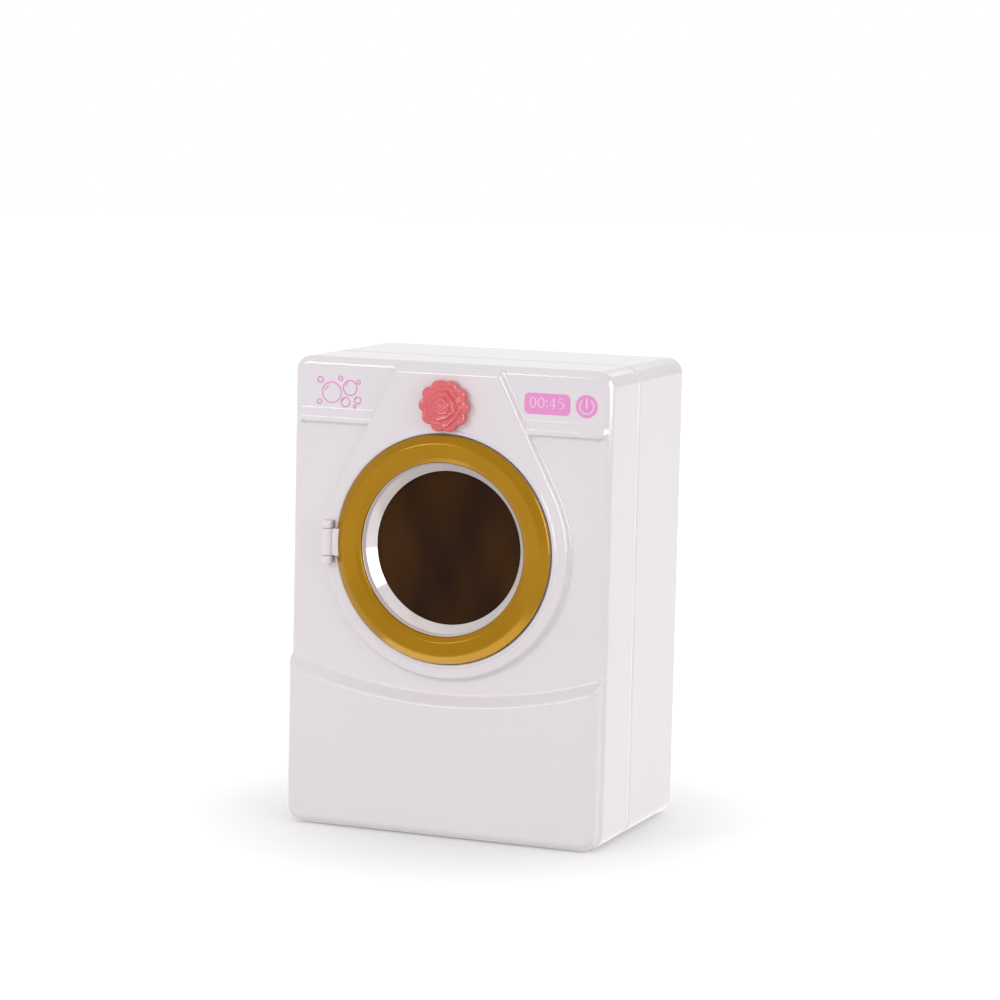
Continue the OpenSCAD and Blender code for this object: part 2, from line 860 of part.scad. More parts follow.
// A flower outline: round lobes set on a ring.
module flower(r, lobe, count, turn)
{
    circle(r = r - lobe, $fn = 48);
    for (i = [0:count - 1])
        rotate(turn + i * 360 / count)
            translate([r - lobe, 0])
                circle(r = lobe, $fn = 32);
}

module knob()
{
    step = (knob_top_h - knob_back_h) / 3;
    color(coral)
        difference() {
            union() {
                on_front(0, knob_z, knob_back_h) {
                    linear_extrude(1.6 * step)
                        flower(knob_r, petal_r, petals, 0);
                    linear_extrude(2.4 * step)
                        flower(0.72 * knob_r, 0.8 * petal_r, petals / 2, 180 / petals);
                    cylinder(r1 = 0.5 * knob_r, r2 = 0.25 * knob_r, h = 3 * step);
                }
                bar(0, knob_z, stem_r, stem_end_h, knob_back_h + eps);
            }
            bar(0, knob_z, mid_screw_r + push / 2, stem_end_h - 1, knob_back_h + 1);
        }
}

module knob_washer()
{
    color(steel)
        difference() {
            bar(0, knob_z, stem_boss_r, stem_end_h - washer_t, stem_end_h);
            bar(0, knob_z, mid_screw_r + push, stem_end_h - 2, stem_end_h + 1);
        }
}

module knob_screw()
{
    color(steel)
        on_front(0, knob_z, stem_end_h - washer_t)
            screw(mid_screw_r, mid_screw_len, mid_head_r, mid_head_t);
}

module friction_ring()
{
    color([0.2, 0.2, 0.2])
        difference() {
            bar(0, knob_z, stem_boss_r, stem_end_h + play / 2, stem_end_h + play / 2 + friction_t);
            bar(0, knob_z, stem_r + push, stem_end_h - 1, 0);
        }
}

module display_label()
{
    color(pink)
        on_front(display_x, label_z, label_proud - label_t)
            linear_extrude(label_t)
                round_rect(display_size[0], display_size[1], 2);
}

module power_label()
{
    color(pink)
        on_front(power_x, label_z, label_proud - label_t)
            cylinder(r = power_r, h = label_t);
}

module bubbles_label()
{
    color(pink)
        on_front(-bubbles_x, label_z, label_proud - label_t)
            linear_extrude(label_t)
                round_rect(bubbles_size[0], bubbles_size[1], 4);
}

front_shell();
rear_shell();
case_screws();
foot_pads();
tub();
tub_screws();
drum();
drum_axle();
drum_bush();
drum_washer();
drum_clip();
door_frame();
door_ring();
door_window();
window_retainer();
door_screws();
door_magnet();
strike_plate();
hinge_pin();
knob();
knob_washer();
knob_screw();
friction_ring();
display_label();
power_label();
bubbles_label();
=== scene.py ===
"""Toy washing machine for dolls: moulded case, gold porthole door, drum, flower knob and printed display."""

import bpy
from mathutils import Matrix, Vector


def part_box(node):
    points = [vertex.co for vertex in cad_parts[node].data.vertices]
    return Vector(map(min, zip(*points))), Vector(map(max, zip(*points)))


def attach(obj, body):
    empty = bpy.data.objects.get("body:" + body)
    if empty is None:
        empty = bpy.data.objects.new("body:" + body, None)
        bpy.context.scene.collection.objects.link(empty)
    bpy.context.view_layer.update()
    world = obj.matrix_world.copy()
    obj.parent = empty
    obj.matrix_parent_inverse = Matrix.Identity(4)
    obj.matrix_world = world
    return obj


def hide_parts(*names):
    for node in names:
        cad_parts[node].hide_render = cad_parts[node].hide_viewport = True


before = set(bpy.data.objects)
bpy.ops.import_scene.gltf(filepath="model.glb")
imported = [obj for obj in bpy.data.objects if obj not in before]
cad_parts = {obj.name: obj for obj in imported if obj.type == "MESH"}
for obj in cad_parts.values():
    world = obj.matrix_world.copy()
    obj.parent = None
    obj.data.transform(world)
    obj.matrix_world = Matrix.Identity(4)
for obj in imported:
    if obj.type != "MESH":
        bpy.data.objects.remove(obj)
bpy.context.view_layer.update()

from types import SimpleNamespace

import bmesh
import bpy
import numpy as np
from mathutils import Matrix, Vector

bl_info = {
    "name": "Toy washing machine",
    "version": (1, 0, 0),
    "blender": (4, 5, 0),
    "location": "View3D > Sidebar > Washer",
    "description": "Builds a toy washing machine for dolls, with its door, drum and knob",
    "category": "Add Mesh",
}

MM = 0.001

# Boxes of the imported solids, in metres, from which sizes below take their defaults.
CASE_LOW, CASE_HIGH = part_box("rear_shell")
RING_LOW, RING_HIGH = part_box("door_ring")
GLASS_LOW, GLASS_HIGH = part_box("door_window")
SKIRT_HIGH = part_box("door_frame")[1]
KNOB_LOW, KNOB_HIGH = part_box("knob")
DISPLAY_LOW, DISPLAY_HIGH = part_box("display_label")
POWER_LOW, POWER_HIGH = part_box("power_label")
BUBBLES_LOW, BUBBLES_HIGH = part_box("bubbles_label")
# The display stands 0.2 mm out of the front face.
FRONT_Y = DISPLAY_LOW.y + 0.0002


def hex_linear(code):
    """Linear RGB of an sRGB hex colour: c / 12.92 up to 0.04045, else ((c + 0.055) / 1.055) ** 2.4."""
    c = np.array([int(code[i:i + 2], 16) / 255 for i in (1, 3, 5)])
    return tuple(float(v) for v in np.where(c <= 0.04045, c / 12.92, ((c + 0.055) / 1.055) ** 2.4))


def length(name, metres, description):
    """A length that a user can change."""
    return bpy.props.FloatProperty(name=name, description=description, default=float(metres), unit="LENGTH",
                                   precision=5)


def colour(name, code, description):
    """A colour that a user can change, written as an sRGB hex value."""
    return bpy.props.FloatVectorProperty(name=name, description=description, default=hex_linear(code),
                                         subtype="COLOR", size=3, min=0.0, max=1.0)


class WasherCase(bpy.types.PropertyGroup):
    """Sizes of the case and of the relief on its front."""

    width: length("Width", CASE_HIGH.x - CASE_LOW.x, "Width of the case")
    top: length("Top", CASE_HIGH.z, "Height of the top over the floor")
    bottom: length("Bottom", CASE_LOW.z, "Height of the underside over the floor")
    front_y: length("Front face", FRONT_Y, "Place of the front face along the depth")
    back_h: length("Back", FRONT_Y - CASE_HIGH.y, "Place of the back, counted forward from the front face")
    seam_h: length("Seam", -0.046, "Place of the seam between the halves, counted forward from the front face")
    groove: length("Seam groove", 0.0005, "Depth of the groove along the seam")
    corner_r: length("Corner radius", 0.009, "Radius of the corners seen from the front")
    edge_r: length("Edge radius", 0.005, "Rounding of the front and back edges")
    plate_t: length("Plate height", 0.005, "How far the keyhole plate stands forward")
    plate_r: length("Plate radius", 0.0756, "Radius of the keyhole plate at its foot")
    plate_slope: length("Plate slope", 0.0018, "Width of the plate's steep border")
    plate_top_w: length("Plate top", 0.0320, "Half of the plate's width along the top edge")
    plate_edge: length("Plate edge", 0.0020, "Radius of the plate's outer edge")
    plate_foot: length("Plate foot", 0.0012, "Radius of the hollow along the plate's foot")
    rib_t: length("Rib height", 0.0031, "How far the ribs stand forward")
    rib_z: length("Rib place", 0.2373, "Height of the ribs over the floor")
    rib_end: length("Rib end", 0.0902, "Distance of the ribs' round ends from the middle")
    rib_up: length("Rib slope", 0.0043, "Reach of the ribs' gentle slope, up from their middle")
    rib_down: length("Rib underside", 0.0042, "Reach of their steep underside, down from their middle")
    panel_t: length("Panel height", 0.007, "How far the lower panel stands forward")
    panel_inset: length("Panel inset", 0.0015, "Set-back of the lower panel from the sides")
    ledge_z: length("Ledge", 0.082, "Height of the ledge over the floor, at the middle")
    ledge_r: length("Ledge radius", 0.294, "Radius of the ledge's long curve")
    ledge_drop: length("Ledge drop", 0.0053, "How far the ledge drops over its depth")
    ledge_edge: length("Ledge edge", 0.0013, "Softness of the ledge's outer edge")
    ledge_foot: length("Ledge foot", 0.0012, "Softness of the hollow along the ledge")
    well_r: length("Screw well radius", 0.0032, "Radius of the screw wells in the back")
    well_rim: length("Screw well rim", 0.0003, "How far the rims of the wells stand out of the back")
    well_h: length("Screw well floor", -0.049, "Place of the wells' floor, counted forward from the front face")


class WasherDoor(bpy.types.PropertyGroup):
    """Sizes of the door and of the opening round it."""

    z: length("Centre", (RING_LOW.z + RING_HIGH.z) / 2, "Height of the door's centre over the floor")
    ring_r: length("Ring radius", (RING_HIGH.z - RING_LOW.z) / 2, "Outer radius of the ring")
    crest_in: length("Crest", 0.0050, "Distance of the crest from the ring's outer edge")
    ring_w: length("Ring width", 0.0160, "Width of the ring, from its outer edge to its inner one")
    crest_h: length("Crest height", 0.0108, "Height of the crest before the front face")
    lip_w: length("Lip", 0.0034, "Width of the ring's inner slope")
    lip_h: length("Lip height", 0.0096, "Height of the lip before the front face")
    bezel_h: length("Bezel", 0.0066, "Height of the ring's inner edge, where the silver bezel starts")
    back_h: length("Ring back", FRONT_Y - RING_HIGH.y, "Place of the ring's back")
    ring_t: length("Ring wall", 0.002, "Wall of the ring")
    flange_t: length("Flange", 0.0016, "Thickness of the white flange behind the ring")
    skirt_r: length("Skirt radius", 0.0558, "Outer radius of the skirt that enters the case")
    skirt_back_h: length("Skirt end", FRONT_Y - SKIRT_HIGH.y, "Place of the skirt's end")
    sight_r: length("Sight radius", 0.0438, "Radius of the visible window")
    glass_r: length("Window radius", (GLASS_HIGH.z - GLASS_LOW.z) / 2, "Outer radius of the window")
    glass_h: length("Window front", FRONT_Y - GLASS_LOW.y, "Place of the window's front")
    sight_in: length("Sight depth", 0.0010, "How far the window's middle lies behind its rim")
    glass_t: length("Window thickness", GLASS_HIGH.y - GLASS_LOW.y, "Thickness of the window")
    opening_r: length("Opening radius", 0.0575, "Radius of the opening in the case")
    collar_h: length("Collar end", -0.0095, "Place of the collar's end inside the case")
    hole_r: length("Front hole", 0.0672, "Radius inside which the door opening's own mesh replaces the front's")
    rim_w: length("Rim width", 0.0024, "Width of the raised rim round the ring")
    gap_w: length("Ring gap", 0.0005, "Width of the dark gap round the ring")
    rim_t: length("Rim height", 0.0008, "How far the rim stands over the plate")
    hinge_x: length("Hinge", -0.0705, "Place of the hinge axis from the middle")
    hinge_h: length("Hinge height", 0.0088, "Place of the hinge axis before the front face")
    knuckle_r: length("Knuckle radius", 0.003, "Radius of the hinge knuckles")
    knuckle_len: length("Knuckle length", 0.0154, "Length of the door's knuckle")
    lug_len: length("Lug length", 0.0045, "Length of each knuckle on the case")
    lug_gap: length("Knuckle gap", 0.0003, "Gap between the knuckles")


class WasherTrim(bpy.types.PropertyGroup):
    """Sizes of the knob and the prints."""

    knob_z: length("Knob centre", (KNOB_LOW.z + KNOB_HIGH.z) / 2, "Height of the knob's centre over the floor")
    knob_r: length("Knob radius", (KNOB_HIGH.z - KNOB_LOW.z) / 2, "Outer radius of the knob")
    knob_h: length("Knob front", FRONT_Y - KNOB_LOW.y, "Height of the bud before the front face")
    knob_back: length("Knob back", 0.0054, "Place of the knob's back")
    lobe_r: length("Lobe radius", 0.0046, "Radius of the lobes round the knob")
    lobes: bpy.props.IntProperty(name="Lobes", description="Number of lobes round the knob", default=10, min=6, max=16)
    stem_r: length("Stem radius", 0.004, "Radius of the knob's stem")
    stem_end: length("Stem end", FRONT_Y - KNOB_HIGH.y, "Place of the stem's end inside the case")
    display_r: length("Display corners", 0.0029, "Radius of the display's corners")
    digit_h: length("Digit height", 0.0062, "Height of the digits on the display")
    print_t: length("Print thickness", 0.00008, "Thickness of the ink")
    bubble_line: length("Bubble line", 0.0007, "Width of the lines of the printed bubbles")


class WasherColours(bpy.types.PropertyGroup):
    """Colours of the toy's plastics and prints."""

    case: colour("Case", "#E8E2E6", "White of the moulded case and door frame")
    inner: colour("Tub and drum", "#D2D0D4", "Light grey of the tub and the drum")
    gold: colour("Door ring", "#A07106", "Gold of the door ring")
    bezel: colour("Bezel", "#F0E8E8", "Silver of the bezel round the window")
    glass: colour("Window", "#210F08", "Brown tint of the smoked window, at its darkest")
    # The olive streaks in the window are painted reflections, drawn as lighter colour in the acrylic.
    glass_reflection_streaks: colour("Window streaks", "#482B0A", "Olive brown of the lighter streaks in the window")
    knob: colour("Knob", "#E3666C", "Coral of the flower knob")
    ink: colour("Print", "#EE94D1", "Pink of the printed marks")
    digits: colour("Digits", "#F8CFEA", "Pale pink of the digits on the display")
    floor: colour("Floor", "#D6D5D6", "Pale floor under the toy")


def sizes():
    """The sizes of the case (s), the door (d) and the trim (k) as plain numbers, lengths in millimetres."""
    scene = bpy.context.scene
    for group in (scene.washer_case, scene.washer_door, scene.washer_trim):
        values = {k: getattr(group, k) for k in group.__annotations__}
        yield SimpleNamespace(**{k: v / MM if isinstance(v, float) else v for k, v in values.items()})


# Shapes: a height h is counted forward from the front face, so y = front_y - h.


def soft_max(a, b, k):
    """The larger of a and b, with a round hollow where they meet: max + (k - |a - b|)^2 / 4k inside k."""
    return np.maximum(a, b) + np.maximum(k - np.abs(a - b), 0) ** 2 / (4 * k)


def soft_min(a, b, k):
    """The smaller of a and b, with a round edge where they meet."""
    return -soft_max(-a, -b, k)


def rolled(depth, r):
    """How far a surface falls near an edge rounded with radius r: r - sqrt(r^2 - (r - depth)^2)."""
    t = np.clip(1 - depth / r, 0, 1)
    return r * (1 - np.sqrt(1 - t * t))


def rect_depth(x, z, half_w, z0, z1, r):
    """Distance inside the outline of a rectangle with round corners, negative outside."""
    qx = np.abs(x) - (half_w - r)
    qz = np.abs(z - (z0 + z1) / 2) - ((z1 - z0) / 2 - r)
    return r - np.hypot(np.maximum(qx, 0), np.maximum(qz, 0)) - np.minimum(np.maximum(qx, qz), 0)


def full_turn(count):
    """Angles of evenly spaced points round a circle."""
    return np.linspace(0, 2 * np.pi, count, endpoint=False)


def cell_middles(*grids):
    """Middles of the grids' cells."""
    return [(g[:-1, :-1] + g[1:, 1:]) / 2 for g in grids]


def spaced(*spans):
    """Joined grid lines: each span is (start, end, count), evenly spaced."""
    parts = [np.linspace(a, b, n, endpoint=False) for a, b, n in spans]
    return np.concatenate(parts + [[spans[-1][1]]])


def rounded(points, radii, steps=5, closed=True):
    """A profile whose corners are arcs: each arc lies between the tangent points at r / tan(half angle) from the
    corner, swept from one spoke of its circle to the other."""
    p = np.asarray(points, float)
    r = np.broadcast_to(np.asarray(radii, float), (len(p),)).copy()
    if not closed:
        r[[0, -1]] = 0
    a, b = np.roll(p, 1, 0) - p, np.roll(p, -1, 0) - p
    la, lb = np.linalg.norm(a, axis=1), np.linalg.norm(b, axis=1)
    a, b = a / la[:, None], b / lb[:, None]
    half = np.arccos(np.clip((a * b).sum(1), -1, 1)) / 2
    half = np.clip(half, 0.02, np.pi / 2 - 0.001)
    reach = np.minimum(r / np.tan(half), 0.49 * np.minimum(la, lb))
    r = np.maximum(reach * np.tan(half), 1e-9)
    spread = a + b
    spread /= np.maximum(np.linalg.norm(spread, axis=1), 1e-9)[:, None]
    centre = p + spread * (r / np.sin(half))[:, None]
    start, end = p + a * reach[:, None] - centre, p + b * reach[:, None] - centre
    turn = np.pi - 2 * half
    t = np.linspace(0, 1, steps)[None, :]
    w0 = np.sin((1 - t) * turn[:, None]) / np.sin(turn)[:, None]
    w1 = np.sin(t * turn[:, None]) / np.sin(turn)[:, None]
    arc = centre[:, None] + w0[..., None] * start[:, None] + w1[..., None] * end[:, None]
    arc = np.where(r[:, None, None] < 1e-6, p[:, None], arc).reshape(-1, 2)
    keep = np.linalg.norm(arc - np.roll(arc, 1, 0), axis=1) > 1e-5
    keep[0] = True
    return arc[keep]


def drawn_in(outline, inset):
    """Copies of an outline, each shrunk towards its middle by an inset: scale 1 - inset / half its lesser width."""
    p = np.asarray(outline)
    mid = (p.min(0) + p.max(0)) / 2
    half = (p.max(0) - p.min(0)).min() / 2
    q = mid + (p - mid) * np.maximum(1 - inset / half, 0)[:, None, None]
    return q[..., 0], q[..., 1]


def arc_of(cx, cz, angles, rx, rz=None):
    """Points of an ellipse's arc: (cx + rx cos, cz + rz sin)."""
    return np.stack([cx + rx * np.cos(angles), cz + (rx if rz is None else rz) * np.sin(angles)], 1)


class Skin:
    """Grids of points and their faces, gathered into one mesh."""

    def __init__(self):
        self.front_y, self.points, self.faces, self.count = next(sizes()).front_y, [], [], 0

    def add(self, x, z, h, wrap=False, ring=False, keep=None):
        """Adds a grid of points given across, up and forward. wrap closes its columns, ring its rows."""
        x, z, h = np.broadcast_arrays(x, z, h)
        index = np.arange(x.size).reshape(x.shape) + self.count
        if wrap:
            index = np.hstack([index, index[:, :1]])
        if ring:
            index = np.vstack([index, index[:1]])
        face = np.stack([index[:-1, :-1], index[:-1, 1:], index[1:, 1:], index[1:, :-1]], -1)
        if keep is not None:
            face = face[keep]
        self.points.append(np.stack([x, self.front_y - h, z], -1).reshape(-1, 3) * MM)
        self.faces.append(face.reshape(-1, 4))
        self.count += x.size

    def turned(self, profile, x, z, segments, ring=True):
        """A profile of (radius, height) points turned about an axis that points forward: a full turn."""
        p = np.asarray(profile)
        t = full_turn(segments)
        r, h = p[:, :1], p[:, 1:]
        self.add(x + r * np.cos(t), z + r * np.sin(t), h + 0 * t, wrap=True, ring=ring)

    def bar_z(self, outline, z0, z1, bevel):
        """An outline of (across, forward) points carried upward from z0 to z1, with bevelled, closed ends."""
        z = np.array([z0, z0, z0 + bevel, z1 - bevel, z1, z1])[:, None]
        across, forward = drawn_in(outline, np.array([np.inf, bevel, 0, 0, bevel, np.inf]))
        self.add(across, z, forward, wrap=True)

    def slab(self, outline, h0, h1, bevel):
        """An outline of (across, up) points carried forward from h0 to h1, closed, with a bevelled front edge."""
        h = np.array([h0, h0, h1 - bevel, h1 - 0.3 * bevel, h1, h1])[:, None]
        self.add(*drawn_in(outline, np.array([np.inf, 0, 0, 0.3 * bevel, bevel, np.inf])), h, wrap=True)

    def finish(self, name, body, look, replaces=(), outward=True):
        """Writes the mesh, closes its seams and poles, and sets it on its body with its material."""
        co, face = np.concatenate(self.points), np.concatenate(self.faces)
        mesh = bpy.data.meshes.new(name)
        mesh.vertices.add(len(co))
        mesh.vertices.foreach_set("co", co.ravel())
        mesh.loops.add(face.size)
        mesh.loops.foreach_set("vertex_index", face.ravel())
        mesh.polygons.add(len(face))
        mesh.polygons.foreach_set("loop_start", np.arange(0, face.size, 4))
        mesh.update(calc_edges=True)
        work = bmesh.new()
        work.from_mesh(mesh)
        bmesh.ops.remove_doubles(work, verts=work.verts, dist=2e-6)
        if outward:
            bmesh.ops.recalc_face_normals(work, faces=work.faces)
        work.to_mesh(mesh)
        work.free()
        mesh.validate()
        mesh.shade_smooth()
        piece = bpy.data.objects.new(name, mesh)
        bpy.context.scene.collection.objects.link(piece)
        mesh.materials.append(look)
        piece.modifiers.new("face_weighted", "WEIGHTED_NORMAL").weight = 50
        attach(piece, body)
        if replaces:
            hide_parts(*replaces)
        return piece


def ledge_at(s, x):
    """Height over the floor of the ledge's top edge: z = centre - sqrt(r^2 - x^2)."""
    return s.ledge_z + s.ledge_r - np.sqrt(s.ledge_r ** 2 - x ** 2)


def plate_flank(s, d):
    """Distance from the plate's middle to its top corner, and the angle at which the straight flank from that corner
    touches the plate's circle."""
    x, z = s.plate_top_w, s.top - s.edge_r / 2 - d.z
    return np.hypot(x, z), np.arctan2(z, x) - np.arccos(s.plate_r / np.hypot(x, z))


def plate_distance(s, d, x, z):
    """Distance outside the keyhole plate's foot: to its circle, or beyond the point where a straight flank from the
    top corner touches the circle, to that flank. Negative inside."""
    ax, turn = np.abs(x), plate_flank(s, d)[1]
    out = np.array([np.cos(turn), np.sin(turn)])
    along = -ax * out[1] + (z - d.z) * out[0]
    flank = ax * out[0] + (z - d.z) * out[1] - s.plate_r
    return np.where(along > 0, flank, np.hypot(ax, z - d.z) - s.plate_r)


def plate_profile(s):
    """The plate's border as (distance inside its foot, height): face, hollow, steep wall, round edge, top."""
    outside, middle = -9, s.plate_slope + 90
    return rounded([(outside, 0), (0, 0), (s.plate_slope, s.plate_t), (middle, s.plate_t)],
                   [0, s.plate_foot, s.plate_edge, 0], 9, closed=False)


def rib_rise(s, x, z):
    """Height that the ribs add: a section with a gentle upper slope and a steep underside, turned about the ribs' ends,
    where the two sides blend with the sine of the angle."""
    up, down, t, far = s.rib_up, s.rib_down, s.rib_t, 20
    brow, brow_drop, crest = 0.7, 0.3, -0.4
    across, rise = rounded([(-far, 0), (-down, 0), (brow - down, t - brow_drop), (crest, t), (up, 0), (far, 0)],
                           [0, 2.2, 0.9, 1.8, 2.6, 0], 9, closed=False).T
    past, over = np.maximum(np.abs(x) - s.rib_end, 0), z - s.rib_z
    rho = np.hypot(past, over)
    turn = np.where(past > 0, (1 + over / np.maximum(rho, 1e-9)) / 2, over > 0)
    return turn * np.interp(rho, across, rise) + (1 - turn) * np.interp(-rho, across, rise)


def front_height(s, d, x, z):
    """Height of the front over its face: a rolled edge with two ribs, the keyhole plate and the lower panel, joined by
    max, soft max and soft min."""
    body = -rolled(rect_depth(x, z, s.width / 2, s.bottom, s.top, s.corner_r), s.edge_r)
    inside = -plate_distance(s, d, x, z)
    across, up = plate_profile(s).T
    hidden, sink, roll_z, roll_w, blend = -9, 1, 7, 5, 0.6
    plate = np.where(inside > across[1], np.interp(inside, across, up), hidden)
    # Near the top the plate rolls down until it lies under the body.
    over = np.clip((z - (s.top - roll_z)) / roll_w, 0, 1)
    roof = -sink + (s.plate_t + sink) * np.sqrt(1 - over ** 2) - 4 * (z > s.top - roll_z + roll_w)
    plate = soft_min(plate, roof, blend)
    body = body + rib_rise(s, x, z)
    past_top = s.top + 40
    depth = rect_depth(x, z, s.width / 2 - s.panel_inset, s.bottom, past_top, s.corner_r)
    ledge = (np.hypot(x, z - s.ledge_z - s.ledge_r) - s.ledge_r) * s.panel_t / s.ledge_drop
    panel = soft_min(s.panel_t - rolled(depth, s.edge_r), ledge, s.ledge_edge)
    return soft_max(np.maximum(body, plate), panel, s.ledge_foot)


# The fine band along the plate's border: distances inside the foot, and how far its ends stop below the top corners.
BAND_OUT, BAND_IN, BAND_END = -1.1, 3.6, 6.5


def plate_band(s, d, skin):
    """The plate's border again, as its profile carried along the foot: down the right flank, round the circle and up
    the left one. It stands a hair over the coarse grid, whose cells below it are left out."""
    reach, turn = plate_flank(s, d)
    round_n, flank_n, hair = 380, 90, 0.012
    flank = np.linspace(0, np.sqrt(reach ** 2 - s.plate_r ** 2) - BAND_END, flank_n)[1:]
    arc = np.linspace(turn, -np.pi - turn, round_n)
    along = np.concatenate([flank[::-1], np.zeros(round_n), flank])
    angle = np.pad(arc, flank_n - 1, "edge")
    side = np.where(angle > -np.pi / 2, 1, -1) * along
    across = np.unique(np.concatenate([np.linspace(-2.6, 5, 20), np.linspace(BAND_OUT, BAND_IN, 31)]))[:, None]
    x = (s.plate_r - across) * np.cos(angle) - side * np.sin(angle)
    z = d.z + (s.plate_r - across) * np.sin(angle) + side * np.cos(angle)
    skin.add(x, z, front_height(s, d, x, z) + hair)


def border_of(s, *grids):
    """The border of a grid as one counter-clockwise loop from its lower left corner, the middle of the corner circle
    that each point belongs to, and its direction away from that middle."""
    loop = np.stack([np.concatenate([g[0, :-1], g[:-1, -1], g[-1, :0:-1], g[:0:-1, 0]]) for g in grids])
    w, r = s.width / 2, s.corner_r
    core = np.stack([np.clip(loop[0], r - w, w - r), np.clip(loop[1], s.bottom + r, s.top - r)])
    out = loop[:2] - core
    return loop, core, out / np.linalg.norm(out, axis=0)


def case_wall(s, side, face_h, degrees, core, out, upright=1):
    """Rows of points from the seam to a face: the V groove, the straight wall, and the edge rolled through the given
    angles, inset r (1 - cos) and lower by r (1 - sin). side is 1 for the front half and -1 for the rear one, and
    upright is the share of the rolled edge's inset that stays."""
    roll = np.radians(degrees)
    inset = np.array([2.0, s.groove, 0, 0])
    height = s.seam_h + side * np.array([0, 0, s.groove, 3])
    depth = np.vstack([inset[:, None] + 0 * out[:1], (s.edge_r * (1 - np.cos(roll)))[:, None] * upright + 0 * out[:1]])
    h = np.concatenate([height, face_h - side * s.edge_r * (1 - np.sin(roll))])[:, None] + 0 * out[:1]
    return *(core[:, None] + (s.corner_r - depth) * out[:, None]), h


class WASHER_OT_case_front(bpy.types.Operator):
    """Front half of the case, with its keyhole plate, ribs and lower panel"""

    bl_idname = "washer.case_front"
    bl_label = "Case front"

    def execute(self, context):
        s, d, _ = sizes()
        w, r = s.width / 2, s.corner_r
        low, high, edge = s.bottom + r, s.top - r, r - 1.0
        # Grid lines, closer at the corners, the ribs and the ledge; the rows near the ledge follow its curve.
        side = ((30, 47, 42), (47, 80, 26), (80, w - edge, 22))
        xs = spaced(*((-b, -a, n) for a, b, n in side[::-1]), (-30, 30, 50), *side)
        under, over, rib_low, rib_high = s.ledge_z - 12, s.ledge_z + 4, s.rib_z - 7, s.rib_z + 7
        rows = spaced((s.bottom + edge, low, 6), (low, under, 58), (under, over, 38), (over, rib_low, 104),
                      (rib_low, rib_high, 34), (rib_high, high, 24), (high, s.top - edge, 6))
        lift = np.interp(rows, s.ledge_z + np.array([-60, -12, 6, 70]), [0, 1, 1, 0])
        z = rows[:, None] + lift[:, None] * (ledge_at(s, xs) - s.ledge_z)
        x = np.broadcast_to(xs, z.shape)
        h = front_height(s, d, x, z)
        mx, mz = cell_middles(x, z)
        skin = Skin()
        inside, lap = -plate_distance(s, d, mx, mz), 0.1
        banded = (inside > BAND_OUT - lap) & (inside < BAND_IN + lap) & (mz < s.top - BAND_END - 4)
        skin.add(x, z, h, keep=(np.hypot(mx, mz - d.z) > d.hole_r) & ~banded)
        plate_band(s, d, skin)
        # Border: from the seam over the rolled edge of the body and that of the lower panel to the grid.
        border, core, out = border_of(s, x, z, h)
        upright = np.where(out[1] < 0, np.abs(out[0]), 1)  # The front edge isn't rolled along the underside.
        wall = case_wall(s, 1, 0, [0, 9, 18, 27, 36, 45.6], core, out, upright)
        roll = np.radians(np.arange(0, 81, 10))
        depth = np.concatenate([s.edge_r * (1 - np.cos(roll)) + 0.12, [4.7, 5.3]])[:, None]
        px = core[0] * (w - r - s.panel_inset) / (w - r) + (r - depth) * out[0]
        pz = low + (core[1] - low) * (high - low - s.panel_inset) / (high - low) + (r - depth) * out[1]
        panel = px, pz, front_height(s, d, px, pz)
        skin.add(*(np.vstack(part) for part in zip(wall, panel, border)), wrap=True)
        skin.finish("case_front", "case", moulded_white(), ["front_shell"], outward=False)
        return {"FINISHED"}


class WASHER_OT_surround(bpy.types.Operator):
    """Round opening with its raised rim, the catch shelf and the two hinge lugs, moulded with the front"""

    bl_idname = "washer.surround"
    bl_label = "Door opening"

    def execute(self, context):
        s, d, _ = sizes()
        skin = Skin()
        # Collar, hidden root, raised rim, dark gap round the ring, and the face under the ring.
        collar_r, root, root_h, gap_h = 60, 2.0, s.plate_t - 4.4, s.plate_t - 3.6
        foot, top = s.plate_t + 0.02, s.plate_t + d.rim_t
        inner, outer, lap_r = d.ring_r + d.gap_w, d.ring_r + d.gap_w + d.rim_w, d.ring_r - 0.3
        profile = rounded([(collar_r, d.collar_h), (collar_r, root_h), (outer + root, root_h), (outer + root, foot),
                           (outer, foot), (outer - 0.5, top), (inner, top), (inner, gap_h), (lap_r, gap_h),
                           (lap_r, foot), (d.opening_r, foot), (d.opening_r, d.collar_h)],
                          [0, 0, 0, 0.1, 0.5, 0.6, 0.45, 0.1, 0.1, 0.3, 1.2, 0.3], 7)
        skin.turned(profile, 0, d.z, 256)
        # Lugs: an upright with a round end, carried along the hinge axis.
        k, lug_root = d.knuckle_r, s.plate_t - 1.1
        lug = np.vstack([[[d.hinge_x + k, lug_root]], arc_of(d.hinge_x, d.hinge_h, np.linspace(0, np.pi, 17), k),
                         [[d.hinge_x - k, lug_root]]])
        middle = (d.knuckle_len + d.lug_len) / 2 + d.lug_gap
        for side in (-1, 1):
            skin.bar_z(lug, d.z + side * middle - d.lug_len / 2, d.z + side * middle + d.lug_len / 2, 0.35)
        # Catch shelf: a bar behind the front, beside the opening, that carries the strike plate.
        (x0, x1), (h0, h1), half_len = (44.3, 58.8), (-9.4, -6.65), 8
        skin.bar_z(rounded([(x0, h0), (x1, h0), (x1, h1), (x0, h1)], 0.4, 4), d.z - half_len, d.z + half_len, 0.4)
        skin.finish("door_surround", "case", moulded_white(), ["front_shell"])
        return {"FINISHED"}


